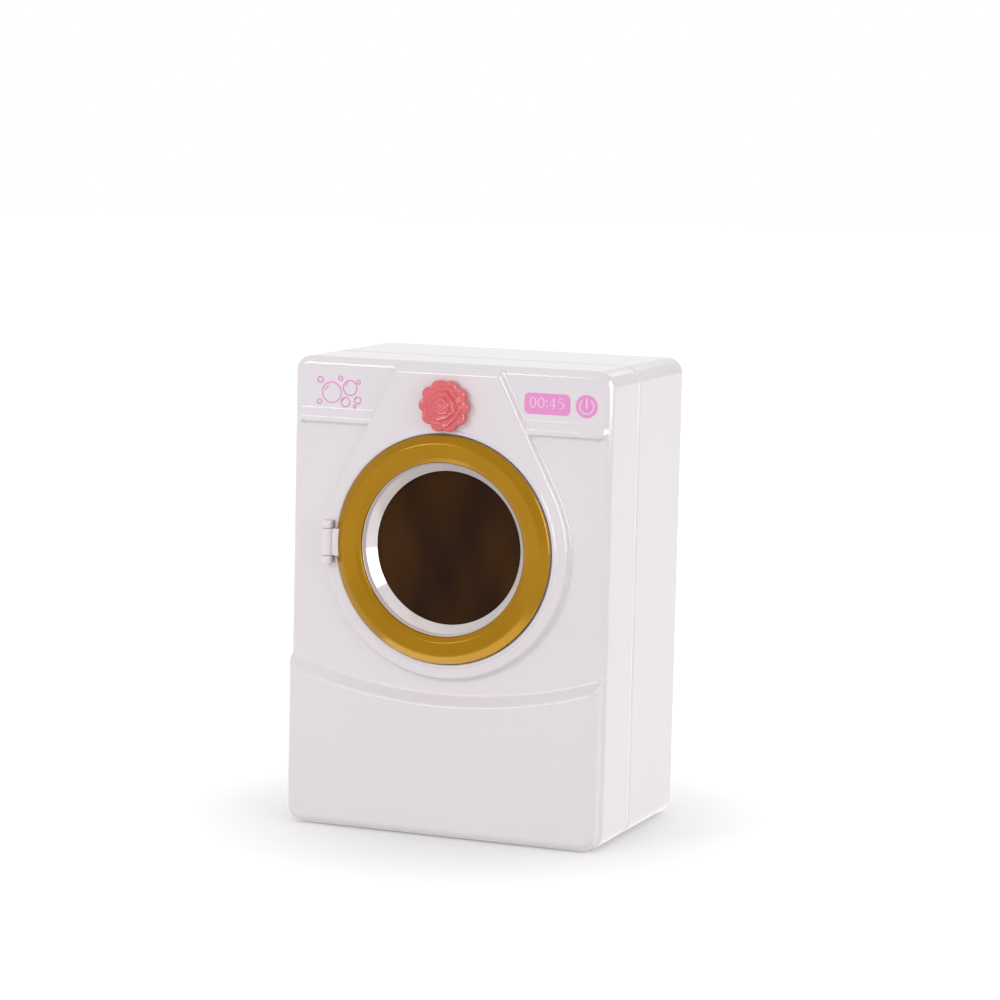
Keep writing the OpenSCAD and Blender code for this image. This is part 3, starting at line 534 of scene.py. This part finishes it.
class WASHER_OT_case_rear(bpy.types.Operator):
    """Rear half of the case, with its screw wells"""

    bl_idname = "washer.case_rear"
    bl_label = "Case rear"

    def execute(self, context):
        s, _, _ = sizes()
        w, r, back = s.width / 2, s.corner_r, s.back_h + s.well_rim
        low, high, edge = s.bottom + r, s.top - r, r - 1.0
        xs = spaced((edge - w, r - w, 6), (r - w, w - r, 88), (w - r, w - edge, 6))
        zs = spaced((s.bottom + edge, low, 6), (low, high, 126), (high, s.top - edge, 6))
        x, z = np.meshgrid(-xs, zs)
        h = np.full(x.shape, back)
        from_side, from_end, over_ledge, hole_r = 13, 16, 30, 4.6
        wells = np.array([(side * (w - from_side), level) for side in (-1, 1)
                          for level in (s.bottom + from_end, s.ledge_z + over_ledge, s.top - from_end)])
        mx, mz = cell_middles(x, z)
        near = np.hypot(mx[..., None] - wells[:, 0], mz[..., None] - wells[:, 1]).min(-1)
        skin = Skin()
        skin.add(x, z, h, keep=near > hole_r)
        border, core, out = border_of(s, x, z, h)
        wall = case_wall(s, -1, back, np.arange(0, 91, 10), core, out)
        skin.add(*(np.vstack(part) for part in zip(wall, border)), wrap=True)
        skin.finish("case_rear", "case", moulded_white(), ["rear_shell"], outward=False)
        # Wells: a rim on the back with a tube behind it, and a floor with the screw's hole.
        skin = Skin()
        rim_r, tube_r, tube_t, screw_r = 7.0, s.well_r + 0.8, 0.8, 1.7
        ring = rounded([(s.well_r, s.back_h), (rim_r - 0.4, s.back_h), (rim_r, back + 0.1), (rim_r, back + 1.6),
                        (tube_r, back + 1.6), (tube_r, s.well_h - tube_t), (s.well_r, s.well_h - tube_t)],
                       [0.5, 0.3, 0, 0, 0, 0, 0], 5)
        floor_r, floor_h = s.well_r + 0.4, s.well_h + tube_t
        floor = [(screw_r, s.well_h), (floor_r, s.well_h), (floor_r, floor_h), (screw_r, floor_h)]
        for cx, cz in wells:
            skin.turned(ring, cx, cz, 48)
            skin.turned(floor, cx, cz, 48)
        skin.finish("screw_wells", "case", moulded_white(), ["rear_shell"])
        return {"FINISHED"}


class WASHER_OT_door(bpy.types.Operator):
    """Door: gold ring, white frame with its hinge knuckle, silvered bezel and smoked window"""

    bl_idname = "washer.door"
    bl_label = "Door"

    def execute(self, context):
        _, d, _ = sizes()
        crest_r, lip_r = d.ring_r - d.crest_in, d.ring_r - d.ring_w
        flange_h, wall_r = d.back_h + d.flange_t, d.ring_r - d.ring_t
        # tuck is how far the hidden parts reach under the ring, and play the gap to the next piece.
        edge_h, slope_w, slope_h, tuck, play = d.back_h + 1.6, 0.5, 1.5, 1.2, 0.1
        # Outer bevel, crest, main face, bright lip and inner slope; then the underside.
        profile = rounded([(d.ring_r, d.back_h), (d.ring_r, edge_h), (crest_r, d.crest_h), (lip_r + d.lip_w, d.lip_h),
                           (lip_r + slope_w, d.bezel_h + slope_h), (lip_r, d.bezel_h), (lip_r + tuck, d.bezel_h),
                           (lip_r + d.lip_w, d.lip_h - d.ring_t), (crest_r, d.crest_h - d.ring_t),
                           (wall_r, flange_h + play), (wall_r, d.back_h)],
                          [0.35, 1.6, 2.6, 2.0, 1.4, 0.2, 0.2, 0.3, 0.5, 0.5, 0.2], 9)
        skin = Skin()
        skin.turned(profile, 0, d.z, 288)
        ring = skin.finish("door_ring_gold", "door", pearl_gold(), ["door_ring"])
        lit_from_below().objects.link(ring)

        # Frame: the skirt that enters the case, and the flange behind the ring.
        skin = Skin()
        flange_r, flange_in, skirt_in = wall_r - play, lip_r + tuck + play, d.skirt_r - d.flange_t
        skin.turned(rounded([(d.skirt_r, d.skirt_back_h), (d.skirt_r, d.back_h), (flange_r, d.back_h),
                             (flange_r, flange_h), (flange_in, flange_h), (flange_in, d.back_h),
                             (skirt_in, d.back_h), (skirt_in, d.skirt_back_h)],
                            [0.5, 0.2, 0.3, 0.2, 0.2, 0.2, 0.3, 0.4], 5), 0, d.z, 224)
        # Hinge arm and knuckle: a round end with a flat tail, carried along the hinge axis.
        k, arm_t, arm_x = d.knuckle_r, 2.6, -60.2
        t = np.linspace(0, 2 * np.pi - np.arcsin(arm_t / k), 29)
        knuckle = np.vstack([[[arm_x, d.back_h], [arm_x, d.back_h + arm_t]], arc_of(d.hinge_x, d.hinge_h, t, k)])
        skin.bar_z(knuckle, d.z - d.knuckle_len / 2, d.z + d.knuckle_len / 2, 0.3)
        skin.finish("door_frame_white", "door", moulded_white(), ["door_frame"])

        # Bezel: a steep wall under the gold lip, then a shallow dish down to the window, over whose rim it folds.
        skin = Skin()
        middle_h, fold = d.glass_h - d.sight_in, 1.7
        seat_h, top_h, rest_h, dish_h = middle_h - 0.5, d.bezel_h - play, d.glass_h + play / 2, 3.4
        skin.turned(rounded([(lip_r - 0.05, top_h), (lip_r - 0.7, dish_h), (d.sight_r, middle_h),
                             (d.sight_r + 1.2, seat_h), (d.sight_r + fold, rest_h), (d.glass_r + play, rest_h),
                             (lip_r + tuck, d.back_h - 1), (lip_r + tuck, top_h)],
                            [0.3, 1.6, 0.25, 0.2, 0.2, 0.2, 0.3, 0.2], 7), 0, d.z, 256)
        skin.finish("silver_bezel", "door", silvered(), ["door_frame"])

        # Window: a disc with a thinner, slightly domed middle, h = seat + rise (1 - t^2).
        skin = Skin()
        back, dome_r, rise = d.glass_h - d.glass_t, d.sight_r + 0.9, 0.7
        t = np.linspace(1, 0, 14)
        dome = np.stack([dome_r * t, seat_h + rise * (1 - t ** 2)], 1)
        rim = rounded([(0, back), (d.glass_r, back), (d.glass_r, d.glass_h), (d.sight_r + fold + 0.5, d.glass_h),
                       (d.sight_r + fold, seat_h), (dome_r, seat_h)],
                      [0, 0.3, 0.4, 0.1, 0.1, 0], 4, closed=False)
        skin.turned(np.vstack([rim[:-1], dome]), 0, d.z, 192, ring=False)
        skin.finish("smoked_window", "door", smoked_acrylic(), ["door_window"])
        return {"FINISHED"}


class WASHER_OT_knob(bpy.types.Operator):
    """Flower knob: a lobed outline with overlapping petals in low relief round a bud"""

    bl_idname = "washer.knob"
    bl_label = "Flower knob"

    def execute(self, context):
        _, _, k = sizes()
        t = full_turn(400)
        # Outline: the ray's far hit on the nearest lobe, c cos(f) + sqrt(l^2 - c^2 sin(f)^2).
        c = k.knob_r - k.lobe_r
        f = (t * k.lobes / (2 * np.pi) + 0.5) % 1 * 2 * np.pi / k.lobes - np.pi / k.lobes
        rim = c * np.cos(f) + np.sqrt(k.lobe_r ** 2 - (c * np.sin(f)) ** 2)
        share = np.concatenate([np.linspace(0, 0.9, 76), np.linspace(0.915, 1, 9)])[:, None]
        r, edge_r, low = rim * share, 1.3, k.knob_back
        h = petals(k, r, t) - rolled(rim - r, edge_r)
        # From the middle of the back over its rim and up the side wall to the petals.
        flat = np.full_like(h[:1], low)
        rows_r = np.vstack([0 * rim, 0.98 * rim, rim, rim, r[::-1]])
        rows_h = np.vstack([flat, flat, flat + 0.4, (h[-1:] + low + 0.5) / 2, h[::-1]])
        skin = Skin()
        skin.add(rows_r * np.cos(t), k.knob_z + rows_r * np.sin(t), rows_h, wrap=True)
        stem = [(0, k.stem_end), (k.stem_r, k.stem_end), (k.stem_r, low + 0.3), (0, low + 0.3)]
        skin.turned(stem, 0, k.knob_z, 40, ring=False)
        skin.finish("flower_knob", "knob", moulded("coral", 0.22), ["knob"])
        return {"FINISHED"}


def petals(k, r, t):
    """Relief of the flower: each ring of petals has a wavy outer edge r = size (1 + wave cos(count t + turn) +
    ripple cos 2(count t + turn)), and inside it the surface steps up and then dips towards the next ring, as
    overlapping petals do. A domed bud, a little off the middle, stands on the innermost ring."""
    lobe_wave, lobe_from, lobe_w = 0.315, 9, 5
    ripple, step_w, dip, dip_w = 0.03, 0.9, 0.75, 2.4
    bud_x, bud_z, bud_r, bud_t, clear = 0.3, -0.4, 2.9, 1.5, 0.15
    h = lobe_wave * np.cos(k.lobes * t) * np.clip((r - lobe_from) / lobe_w, 0, 1)
    rings = ((11.6, 0.045, 5, 0.4, 1.9), (8.3, 0.06, 4, 1.3, 1.7), (5.3, 0.05, 3, 2.2, 1.5))
    for size, wave, count, turn, step in rings:
        a = count * t + turn
        inside = size * (1 + wave * np.cos(a) + ripple * np.cos(2 * a)) - r
        rise = np.clip(inside / step_w, 0, 1)
        h = h + step * (3 * rise ** 2 - 2 * rise ** 3) - dip * np.clip((inside - step_w) / dip_w, 0, 1) ** 1.5
    from_bud = np.hypot(r * np.cos(t) - bud_x, r * np.sin(t) - bud_z)
    h = h + bud_t * np.sqrt(1 - np.clip(from_bud / bud_r, 0, 1) ** 2)
    return h + (k.knob_h - clear - h.max())


def stroke(skin, path, width, h, thick):
    """A printed line: a path of (across, up) points with a width, closed all round and thick as the ink."""
    p = np.asarray(path, float)
    d = np.gradient(p, axis=0)
    d /= np.linalg.norm(d, axis=1)[:, None]
    side = np.stack([-d[:, 1], d[:, 0]], 1) * (np.broadcast_to(width, len(p)) / 2)[:, None]
    rows = np.stack([p - side, p + side, p + side, p - side])
    rows = np.concatenate([rows.mean(0)[None, :1].repeat(4, 0), rows, rows.mean(0)[None, -1:].repeat(4, 0)], 1)
    height = h + thick * np.array([1, 1, 0, 0])[:, None]
    skin.add(rows[..., 0].T, rows[..., 1].T, np.broadcast_to(height, rows.shape[:2]).T, wrap=True)


def ringed(skin, inner, outer, h, thick):
    """A printed ring between two closed outlines of (across, up) points."""
    rows = np.stack([outer, outer, inner, inner])
    height = h + thick * np.array([0, 1, 1, 0])[:, None]
    skin.add(rows[..., 0], rows[..., 1], height, wrap=True, ring=True)


class WASHER_OT_prints(bpy.types.Operator):
    """Prints: digits on the display, the power sign and a group of soap bubbles"""

    bl_idname = "washer.prints"
    bl_label = "Prints"

    def execute(self, context):
        s, _, k = sizes()
        t, top, sunk = k.print_t, s.front_y - DISPLAY_LOW.y / MM, -0.05
        colours = context.scene.washer_colours
        pale, pink = pad_print("pad_print_pale", colours.digits), pad_print("pad_print_pink", colours.ink)
        low, high = np.array(DISPLAY_LOW)[::2] / MM, np.array(DISPLAY_HIGH)[::2] / MM
        skin = Skin()
        skin.slab(rounded([low, (high[0], low[1]), high, (low[0], high[1])], k.display_r, 12), sunk, top, 0.08)
        skin.finish("display_film", "case", pink, ["display_label"])

        # Digits: two zeros, a colon and the strokes of the last two digits. Sizes are in half heights u.
        skin = Skin()
        (cx, cz), u = (low + high) / 2 + (0, 0.6), k.digit_h / 2
        turn = full_turn(48)
        for dx in (-8.6, -3.7):
            ringed(skin, *(arc_of(cx + dx, cz, turn, a * u, b * u) for a, b in ((0.36, 0.80), (0.69, 1.0))), top, t)
        colon_x, dot_r = cx - 0.3, 0.55
        for dz in (-0.62, 0.28):
            skin.turned([(0, top), (dot_r, top), (dot_r, top + t), (0, top + t)], colon_x, cz + dz * u, 20, ring=False)
        # Each stroke has its path and its width in millimetres, and lies a hair over the one before it.
        bend, hair = np.linspace(2.35, -2.5, 30), 0.008
        strokes = (([(1.27, -1.0), (1.27, 0.98)], 0.85), ([(1.25, 0.93), (0.36, -0.42)], 0.42),
                   ([(0.30, -0.44), (1.70, -0.44)], 0.50), ([(0.97, -0.95), (1.56, -0.95)], 0.35),
                   (arc_of(2.53, -0.38, bend, 0.60), 0.42 + 0.5 * np.clip(np.cos(bend), 0, 1)),
                   ([(2.10, 0.02), (2.20, 0.98)], 0.42), ([(2.18, 0.90), (3.02, 0.90)], 0.62))
        for i, (path, width) in enumerate(strokes):
            path = np.linspace(*path, 6) if len(path) == 2 else path
            stroke(skin, path * u + (cx, cz), width, top, t + hair * i)
        skin.finish("display_digits", "case", pale)

        # Power sign: an open ring with a bar in its gap.
        skin = Skin()
        px, pz = (POWER_LOW.x + POWER_HIGH.x) / 2 / MM, (POWER_LOW.z + POWER_HIGH.z) / 2 / MM
        sign_r, line, half_gap = 4.2, 1.05, 0.62
        a = np.linspace(np.pi / 2 + half_gap, 5 * np.pi / 2 - half_gap, 64)
        stroke(skin, arc_of(px, pz - 0.1, a, sign_r), line, top, t)
        stroke(skin, np.linspace((px, pz - 1.6), (px, pz + 4.3), 8), line, top, t)
        skin.finish("power_sign", "case", pale)

        # Soap bubbles: rings at (across, up, radius), the larger ones with a short tapered glint.
        skin = Skin()
        bx, bz = (BUBBLES_LOW.x + BUBBLES_HIGH.x) / 2 / MM, (BUBBLES_LOW.z + BUBBLES_HIGH.z) / 2 / MM
        line, ink, a = k.bubble_line, t + 0.07, np.linspace(1.9, 2.9, 12)
        for dx, dz, r in ((-5.0, -0.6, 6.2), (6.4, 2.4, 4.6), (3.6, -5.8, 3.0), (11.2, -4.4, 2.3), (-12.2, 6.4, 2.0),
                          (-12.6, -6.2, 1.7), (0.4, 7.6, 1.6), (11.6, 5.9, 1.4), (9.4, -8.0, 1.2)):
            ringed(skin, *(arc_of(bx + dx, bz + dz, turn, q) for q in (r - line, r)), sunk, ink)
            if r > 2:
                taper = 0.9 * np.sin(np.linspace(0.5, np.pi - 0.5, 12))
                stroke(skin, arc_of(bx + dx, bz + dz, a, 0.66 * r), line * taper, sunk, ink)
        skin.finish("bubbles_print", "case", pink, ["bubbles_label"])
        assign(("power_label",), pink)
        return {"FINISHED"}


# Materials


def node(tree, kind, inputs=None, **settings):
    """Adds a shader node, sets its settings, then its inputs: a socket is linked, any other value is written."""
    n = tree.nodes.new(kind)
    for key, value in settings.items():
        setattr(n, key, value)
    for key, value in (inputs or {}).items():
        if isinstance(value, bpy.types.NodeSocket):
            tree.links.new(value, n.inputs[key])
        else:
            n.inputs[key].default_value = value
    return n


def shade(rgb, factor=1.0):
    """The colour, lighter or darker by a factor, with full opacity."""
    return tuple(min(1.0, c * factor) for c in rgb) + (1.0,)


def mottle(tree, where, low, high, mm, detail):
    """Noise with waves of so many millimetres, turned to a value between low and high."""
    noise = node(tree, "ShaderNodeTexNoise", {"Vector": where, "Scale": 1 / (mm * MM), "Detail": detail})
    return node(tree, "ShaderNodeMapRange", {"Value": noise.outputs["Fac"], "From Min": 0.2, "From Max": 0.8,
                                             "To Min": low, "To Max": high}).outputs["Result"]


def surface(name, rgb, tones, clouds, gloss=None, waves=None, stretch=None, light=None, **values):
    """A node material on object coordinates, made once, whose Principled shader takes the values. Its base colour
    drifts between two tones of rgb, or from rgb to light, in clouds of (mm, detail), which a scale can stretch; its
    roughness drifts as gloss of (low, high, mm, detail); its skin has waves of (mm, detail, depth in mm) as bump."""
    m = bpy.data.materials.get(name)
    if m:
        return m
    m = bpy.data.materials.new(name)
    m.use_nodes = True
    tree = m.node_tree
    tree.nodes.clear()
    where = cloud_at = node(tree, "ShaderNodeTexCoord").outputs["Object"]
    if stretch:
        cloud_at = node(tree, "ShaderNodeMapping", {"Vector": where, "Scale": stretch}).outputs[0]
    high = rgb if light is None else light
    mix = node(tree, "ShaderNodeMix", {0: mottle(tree, cloud_at, 0, 1, *clouds), 6: shade(rgb, tones[0]),
                                       7: shade(high, tones[1])}, data_type="RGBA")
    inputs = {k.replace("_", " "): v for k, v in values.items()} | {"Base Color": mix.outputs[2]}
    if gloss:
        inputs["Roughness"] = mottle(tree, where, *gloss)
    if waves:
        mm, detail, depth = waves
        noise = node(tree, "ShaderNodeTexNoise", {"Vector": where, "Scale": 1 / (mm * MM), "Detail": detail})
        inputs["Normal"] = node(tree, "ShaderNodeBump", {"Height": noise.outputs["Fac"], "Distance": depth * MM,
                                                         "Strength": 1.0}).outputs["Normal"]
    shader = node(tree, "ShaderNodeBsdfPrincipled", inputs)
    node(tree, "ShaderNodeOutputMaterial", {"Surface": shader.outputs["BSDF"]})
    return m


def moulded(kind, roughness):
    """Injection moulded ABS from a polished mould: glossy, with a faint orange peel and slightly uneven gloss."""
    rgb = getattr(bpy.context.scene.washer_colours, {"white": "case", "grey": "inner", "coral": "knob"}[kind])
    gloss = roughness - 0.015, roughness + 0.015, 40, 0
    return surface(f"moulded_{kind}_abs", rgb, (0.99, 1.01), (90, 0), gloss, (5, 0, 0.004), IOR=1.54)


def moulded_white():
    """White ABS of the case and the door, which has the highest gloss."""
    return moulded("white", 0.11)


def pearl_gold():
    """ABS with pearl pigment: mica flakes give a broad metallic sheen that drifts with the flow of the melt. The
    flakes are about 0.05 mm; they are drawn 0.6 mm wide so that they show."""
    return surface("pearl_gold_abs", bpy.context.scene.washer_colours.gold, (0.95, 1.05), (22, 1),
                   (0.16, 0.22, 18, 0), (0.6, 0, 0.0006), IOR=1.54, Metallic=0.15, Specular_IOR_Level=0.45,
                   Specular_Tint=shade((1.0, 0.8, 0.25)), Sheen_Weight=0.1, Sheen_Roughness=0.35,
                   Sheen_Tint=shade((1.0, 0.85, 0.72)))


def silvered():
    """ABS with a thin vacuum-deposited silver film under lacquer: a pale satin shine, smoother than bare plastic."""
    return surface("vacuum_silvered_abs", bpy.context.scene.washer_colours.bezel, (0.97, 1.03), (12, 1),
                   (0.07, 0.12, 9, 0), (3, 0, 0.002), IOR=1.5, Metallic=0.1)


def smoked_acrylic():
    """Smoked acrylic: a polished sheet with a deep brown tint, over which cloudy upright streaks of olive brown are
    painted reflections.
    """
    colours = bpy.context.scene.washer_colours
    return surface("smoked_acrylic", colours.glass, (1, 1), (28, 1), stretch=(1, 1, 0.45), light=colours.glass_reflection_streaks,
                   IOR=1.49, Roughness=0.05, Specular_IOR_Level=0.03, Transmission_Weight=0.03)


def pad_print(name, rgb):
    """Pad-printed ink: a thin satin film whose density is slightly uneven from edge to edge."""
    return surface(name, rgb, (0.97, 1.03), (2.5, 2), (0.32, 0.42, 4, 2), IOR=1.5)


def zinc_steel():
    """Zinc-plated steel: a soft bluish metal with a fine crystalline bloom."""
    return surface("zinc_plated_steel", hex_linear("#B9BCC0"), (0.88, 1.08), (1.6, 2), (0.24, 0.4, 2.2, 2),
                   Metallic=1.0)


def matt(name, code, roughness, grain_mm, depth_mm):
    """A dull, fine-grained stuff such as foam, rubber or nylon."""
    return surface(name, hex_linear(code), (0.94, 1.06), (3 * grain_mm, 2), waves=(grain_mm, 2, depth_mm),
                   Roughness=roughness)


def assign(names, look):
    """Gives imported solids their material, in every slot."""
    for name in names:
        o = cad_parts[name]
        for held in o.material_slots:
            held.material = look
        if not o.material_slots:
            o.data.materials.append(look)


class WASHER_OT_inside(bpy.types.Operator):
    """Tub, drum, retainer, screws, pins, magnet, washers and foot pads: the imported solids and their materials"""

    bl_idname = "washer.inside"
    bl_label = "Inside and fixings"

    def execute(self, context):
        assign(("tub", "drum"), moulded("grey", 0.38))
        assign(("window_retainer",), moulded_white())
        assign(("case_screws", "tub_screws", "door_screws", "knob_screw", "knob_washer", "drum_axle", "drum_washer",
                "drum_clip", "hinge_pin", "strike_plate"), zinc_steel())
        assign(("door_magnet",), matt("ferrite_magnet", "#4A4A4E", 0.5, 0.4, 0.01))
        assign(("friction_ring",), matt("nitrile_rubber", "#232323", 0.75, 0.6, 0.02))
        assign(("foot_pads",), matt("eva_foam", "#D9D9D6", 0.9, 0.7, 0.05))
        assign(("drum_bush",), matt("nylon", "#E9E6DC", 0.45, 0.8, 0.01))
        return {"FINISHED"}


def aim_camera(front_y):
    """A long lens to the right of the front and a little above it, rolled slightly as a hand-set tripod is."""
    # Degrees to the right, up and rolled; lengths in millimetres; the focal length in widths of the image.
    a, e, r = np.radians([21.756, 7.058, -1.309])
    focal, distance, aim_x, aim_z, middle_z = 3.5066, 1988.2422, -30.78, -55.22, 138
    right = np.array([np.cos(a), np.sin(a), 0.0])
    ahead = np.array([-np.sin(a) * np.cos(e), np.cos(a) * np.cos(e), -np.sin(e)])
    up = np.cross(right, ahead)
    turn = np.array([right * np.cos(r) - up * np.sin(r), right * np.sin(r) + up * np.cos(r), ahead])
    place = np.array([0, front_y, middle_z]) - turn.T @ np.array([aim_x, aim_z, distance])
    data = bpy.data.cameras.new("camera")
    data.lens = focal * data.sensor_width
    camera = bpy.data.objects.new("camera", data)
    bpy.context.scene.collection.objects.link(camera)
    world = Matrix.Identity(4)
    for i, axis in enumerate((turn[0], turn[1], -turn[2], place * MM)):
        world.col[i][:3] = axis
    camera.matrix_world = world
    bpy.context.scene.camera = camera


def soft_box(name, place, target, width, height, watts, diffuse=True):
    """A rectangular studio lamp aimed at a target."""
    data = bpy.data.lights.new(name, "AREA")
    data.shape = "RECTANGLE"
    data.size, data.size_y, data.energy = width, height, watts
    lamp = bpy.data.objects.new(name, data)
    bpy.context.scene.collection.objects.link(lamp)
    lamp.location = place
    lamp.visible_diffuse = diffuse
    lamp.visible_camera = False
    lamp.rotation_euler = (Vector(target) - Vector(place)).to_track_quat("-Z", "Y").to_euler()
    return lamp


def lit_from_below():
    """The collection of pieces that the low reflector lights."""
    return bpy.data.collections.get("door_ring_light") or bpy.data.collections.new("door_ring_light")


def sees_backdrop(tree):
    """1 for camera, glossy and transmission rays, which see the white backdrop, and 0 for the rest."""
    path = node(tree, "ShaderNodeLightPath")
    both = node(tree, "ShaderNodeMath", {0: path.outputs["Is Glossy Ray"], 1: path.outputs["Is Transmission Ray"]},
                operation="MAXIMUM")
    return node(tree, "ShaderNodeMath", {0: path.outputs["Is Camera Ray"], 1: both.outputs[0]},
                operation="MAXIMUM").outputs[0]


class WASHER_OT_stage(bpy.types.Operator):
    """Camera, pale floor and soft studio light"""

    bl_idname = "washer.stage"
    bl_label = "Stage"

    def execute(self, context):
        scene = context.scene
        scene.view_settings.view_transform = "Standard"
        s, _, _ = sizes()
        aim_camera(s.front_y)
        floor_r, sides = 8, 64
        t = full_turn(sides)
        mesh = bpy.data.meshes.new("floor")
        mesh.from_pydata(np.stack([floor_r * np.cos(t), floor_r * np.sin(t), 0 * t], 1).tolist(), [], [range(sides)])
        floor = bpy.data.objects.new("floor", mesh)
        scene.collection.objects.link(floor)
        look = surface("painted_floor", scene.washer_colours.floor, (0.99, 1.0), (300, 2), Roughness=0.7,
                       Emission_Color=(1, 1, 1, 1))
        # The glow grows away from the toy, so its shadow stays and the rest is white.
        tree, maths = look.node_tree, "ShaderNodeMath"
        where = node(tree, "ShaderNodeTexCoord").outputs["Object"]
        away = node(tree, "ShaderNodeVectorMath", {0: where}, operation="LENGTH").outputs["Value"]
        fade = node(tree, "ShaderNodeMapRange", {"Value": away, "From Min": 0.07, "From Max": 0.32,
                                                 "To Min": 0.2, "To Max": 0.75}).outputs["Result"]
        glossy = node(tree, "ShaderNodeLightPath").outputs["Is Glossy Ray"]
        bright = node(tree, maths, {0: fade, 1: glossy}, operation="MAXIMUM").outputs[0]
        glow = node(tree, maths, {0: sees_backdrop(tree), 1: bright}, operation="MULTIPLY").outputs[0]
        tree.links.new(glow, tree.nodes["Principled BSDF"].inputs["Emission Strength"])
        mesh.materials.append(look)
        world = bpy.data.worlds.new("studio")
        world.use_nodes = True
        tree = world.node_tree
        tree.nodes.clear()
        room, backdrop = (node(tree, "ShaderNodeBackground", {"Color": (1, 1, 1, 1), "Strength": strength})
                          for strength in (0.75, 1.0))
        mix = node(tree, "ShaderNodeMixShader", {0: sees_backdrop(tree), 1: room.outputs[0], 2: backdrop.outputs[0]})
        node(tree, "ShaderNodeOutputWorld", {"Surface": mix.outputs[0]})
        scene.world = world
        # Name, place, target, width, height, watts. The last two are seen by polished surfaces alone: the first of them
        # draws the bright lines along edges and hollows, and the second lies on the floor as a small reflector that
        # lights only the underside of the door ring.
        soft_box("key", (-0.8, -1.5, 0.8), (0, 0, 0.10), 0.55, 0.45, 5.9)
        soft_box("side", (1.5, -0.8, 0.55), (0, 0, 0.08), 0.6, 0.6, 2.4)
        soft_box("rim", (0.3, 1.4, 1.2), (0, 0, 0.13), 1.0, 0.8, 1.6)
        soft_box("gloss_side", (1.5, -0.1, 0.6), (0, 0, 0.12), 1.4, 1.1, 36, diffuse=False)
        low = soft_box("gloss_low", (0.02, -0.12, 0.002), (0.02, -0.119, 1), 0.34, 0.12, 0.3, diffuse=False)
        low.light_linking.receiver_collection = lit_from_below()
        return {"FINISHED"}


PIECES = (WASHER_OT_stage, WASHER_OT_case_front, WASHER_OT_surround, WASHER_OT_case_rear, WASHER_OT_door,
          WASHER_OT_knob, WASHER_OT_prints, WASHER_OT_inside)
GROUPS = {"washer_case": WasherCase, "washer_door": WasherDoor, "washer_trim": WasherTrim,
          "washer_colours": WasherColours}


class WASHER_PT_panel(bpy.types.Panel):
    """The toy's pieces, sizes and colours"""

    bl_idname = "WASHER_PT_panel"
    bl_label = "Toy washing machine"
    bl_space_type = "VIEW_3D"
    bl_region_type = "UI"
    bl_category = "Washer"

    def draw(self, context):
        for piece in PIECES:
            self.layout.operator(piece.bl_idname)
        for name in GROUPS:
            group = getattr(context.scene, name)
            for key in group.__annotations__:
                self.layout.prop(group, key)


CLASSES = tuple(GROUPS.values()) + PIECES + (WASHER_PT_panel,)


def register():
    for c in CLASSES:
        bpy.utils.register_class(c)
    for name, group in GROUPS.items():
        setattr(bpy.types.Scene, name, bpy.props.PointerProperty(type=group))


def unregister():
    for name in GROUPS:
        delattr(bpy.types.Scene, name)
    for c in reversed(CLASSES):
        bpy.utils.unregister_class(c)


def main():
    register()
    for piece in PIECES:
        getattr(bpy.ops.washer, piece.bl_idname.split(".")[1])()


if __name__ == "__main__":
    main()
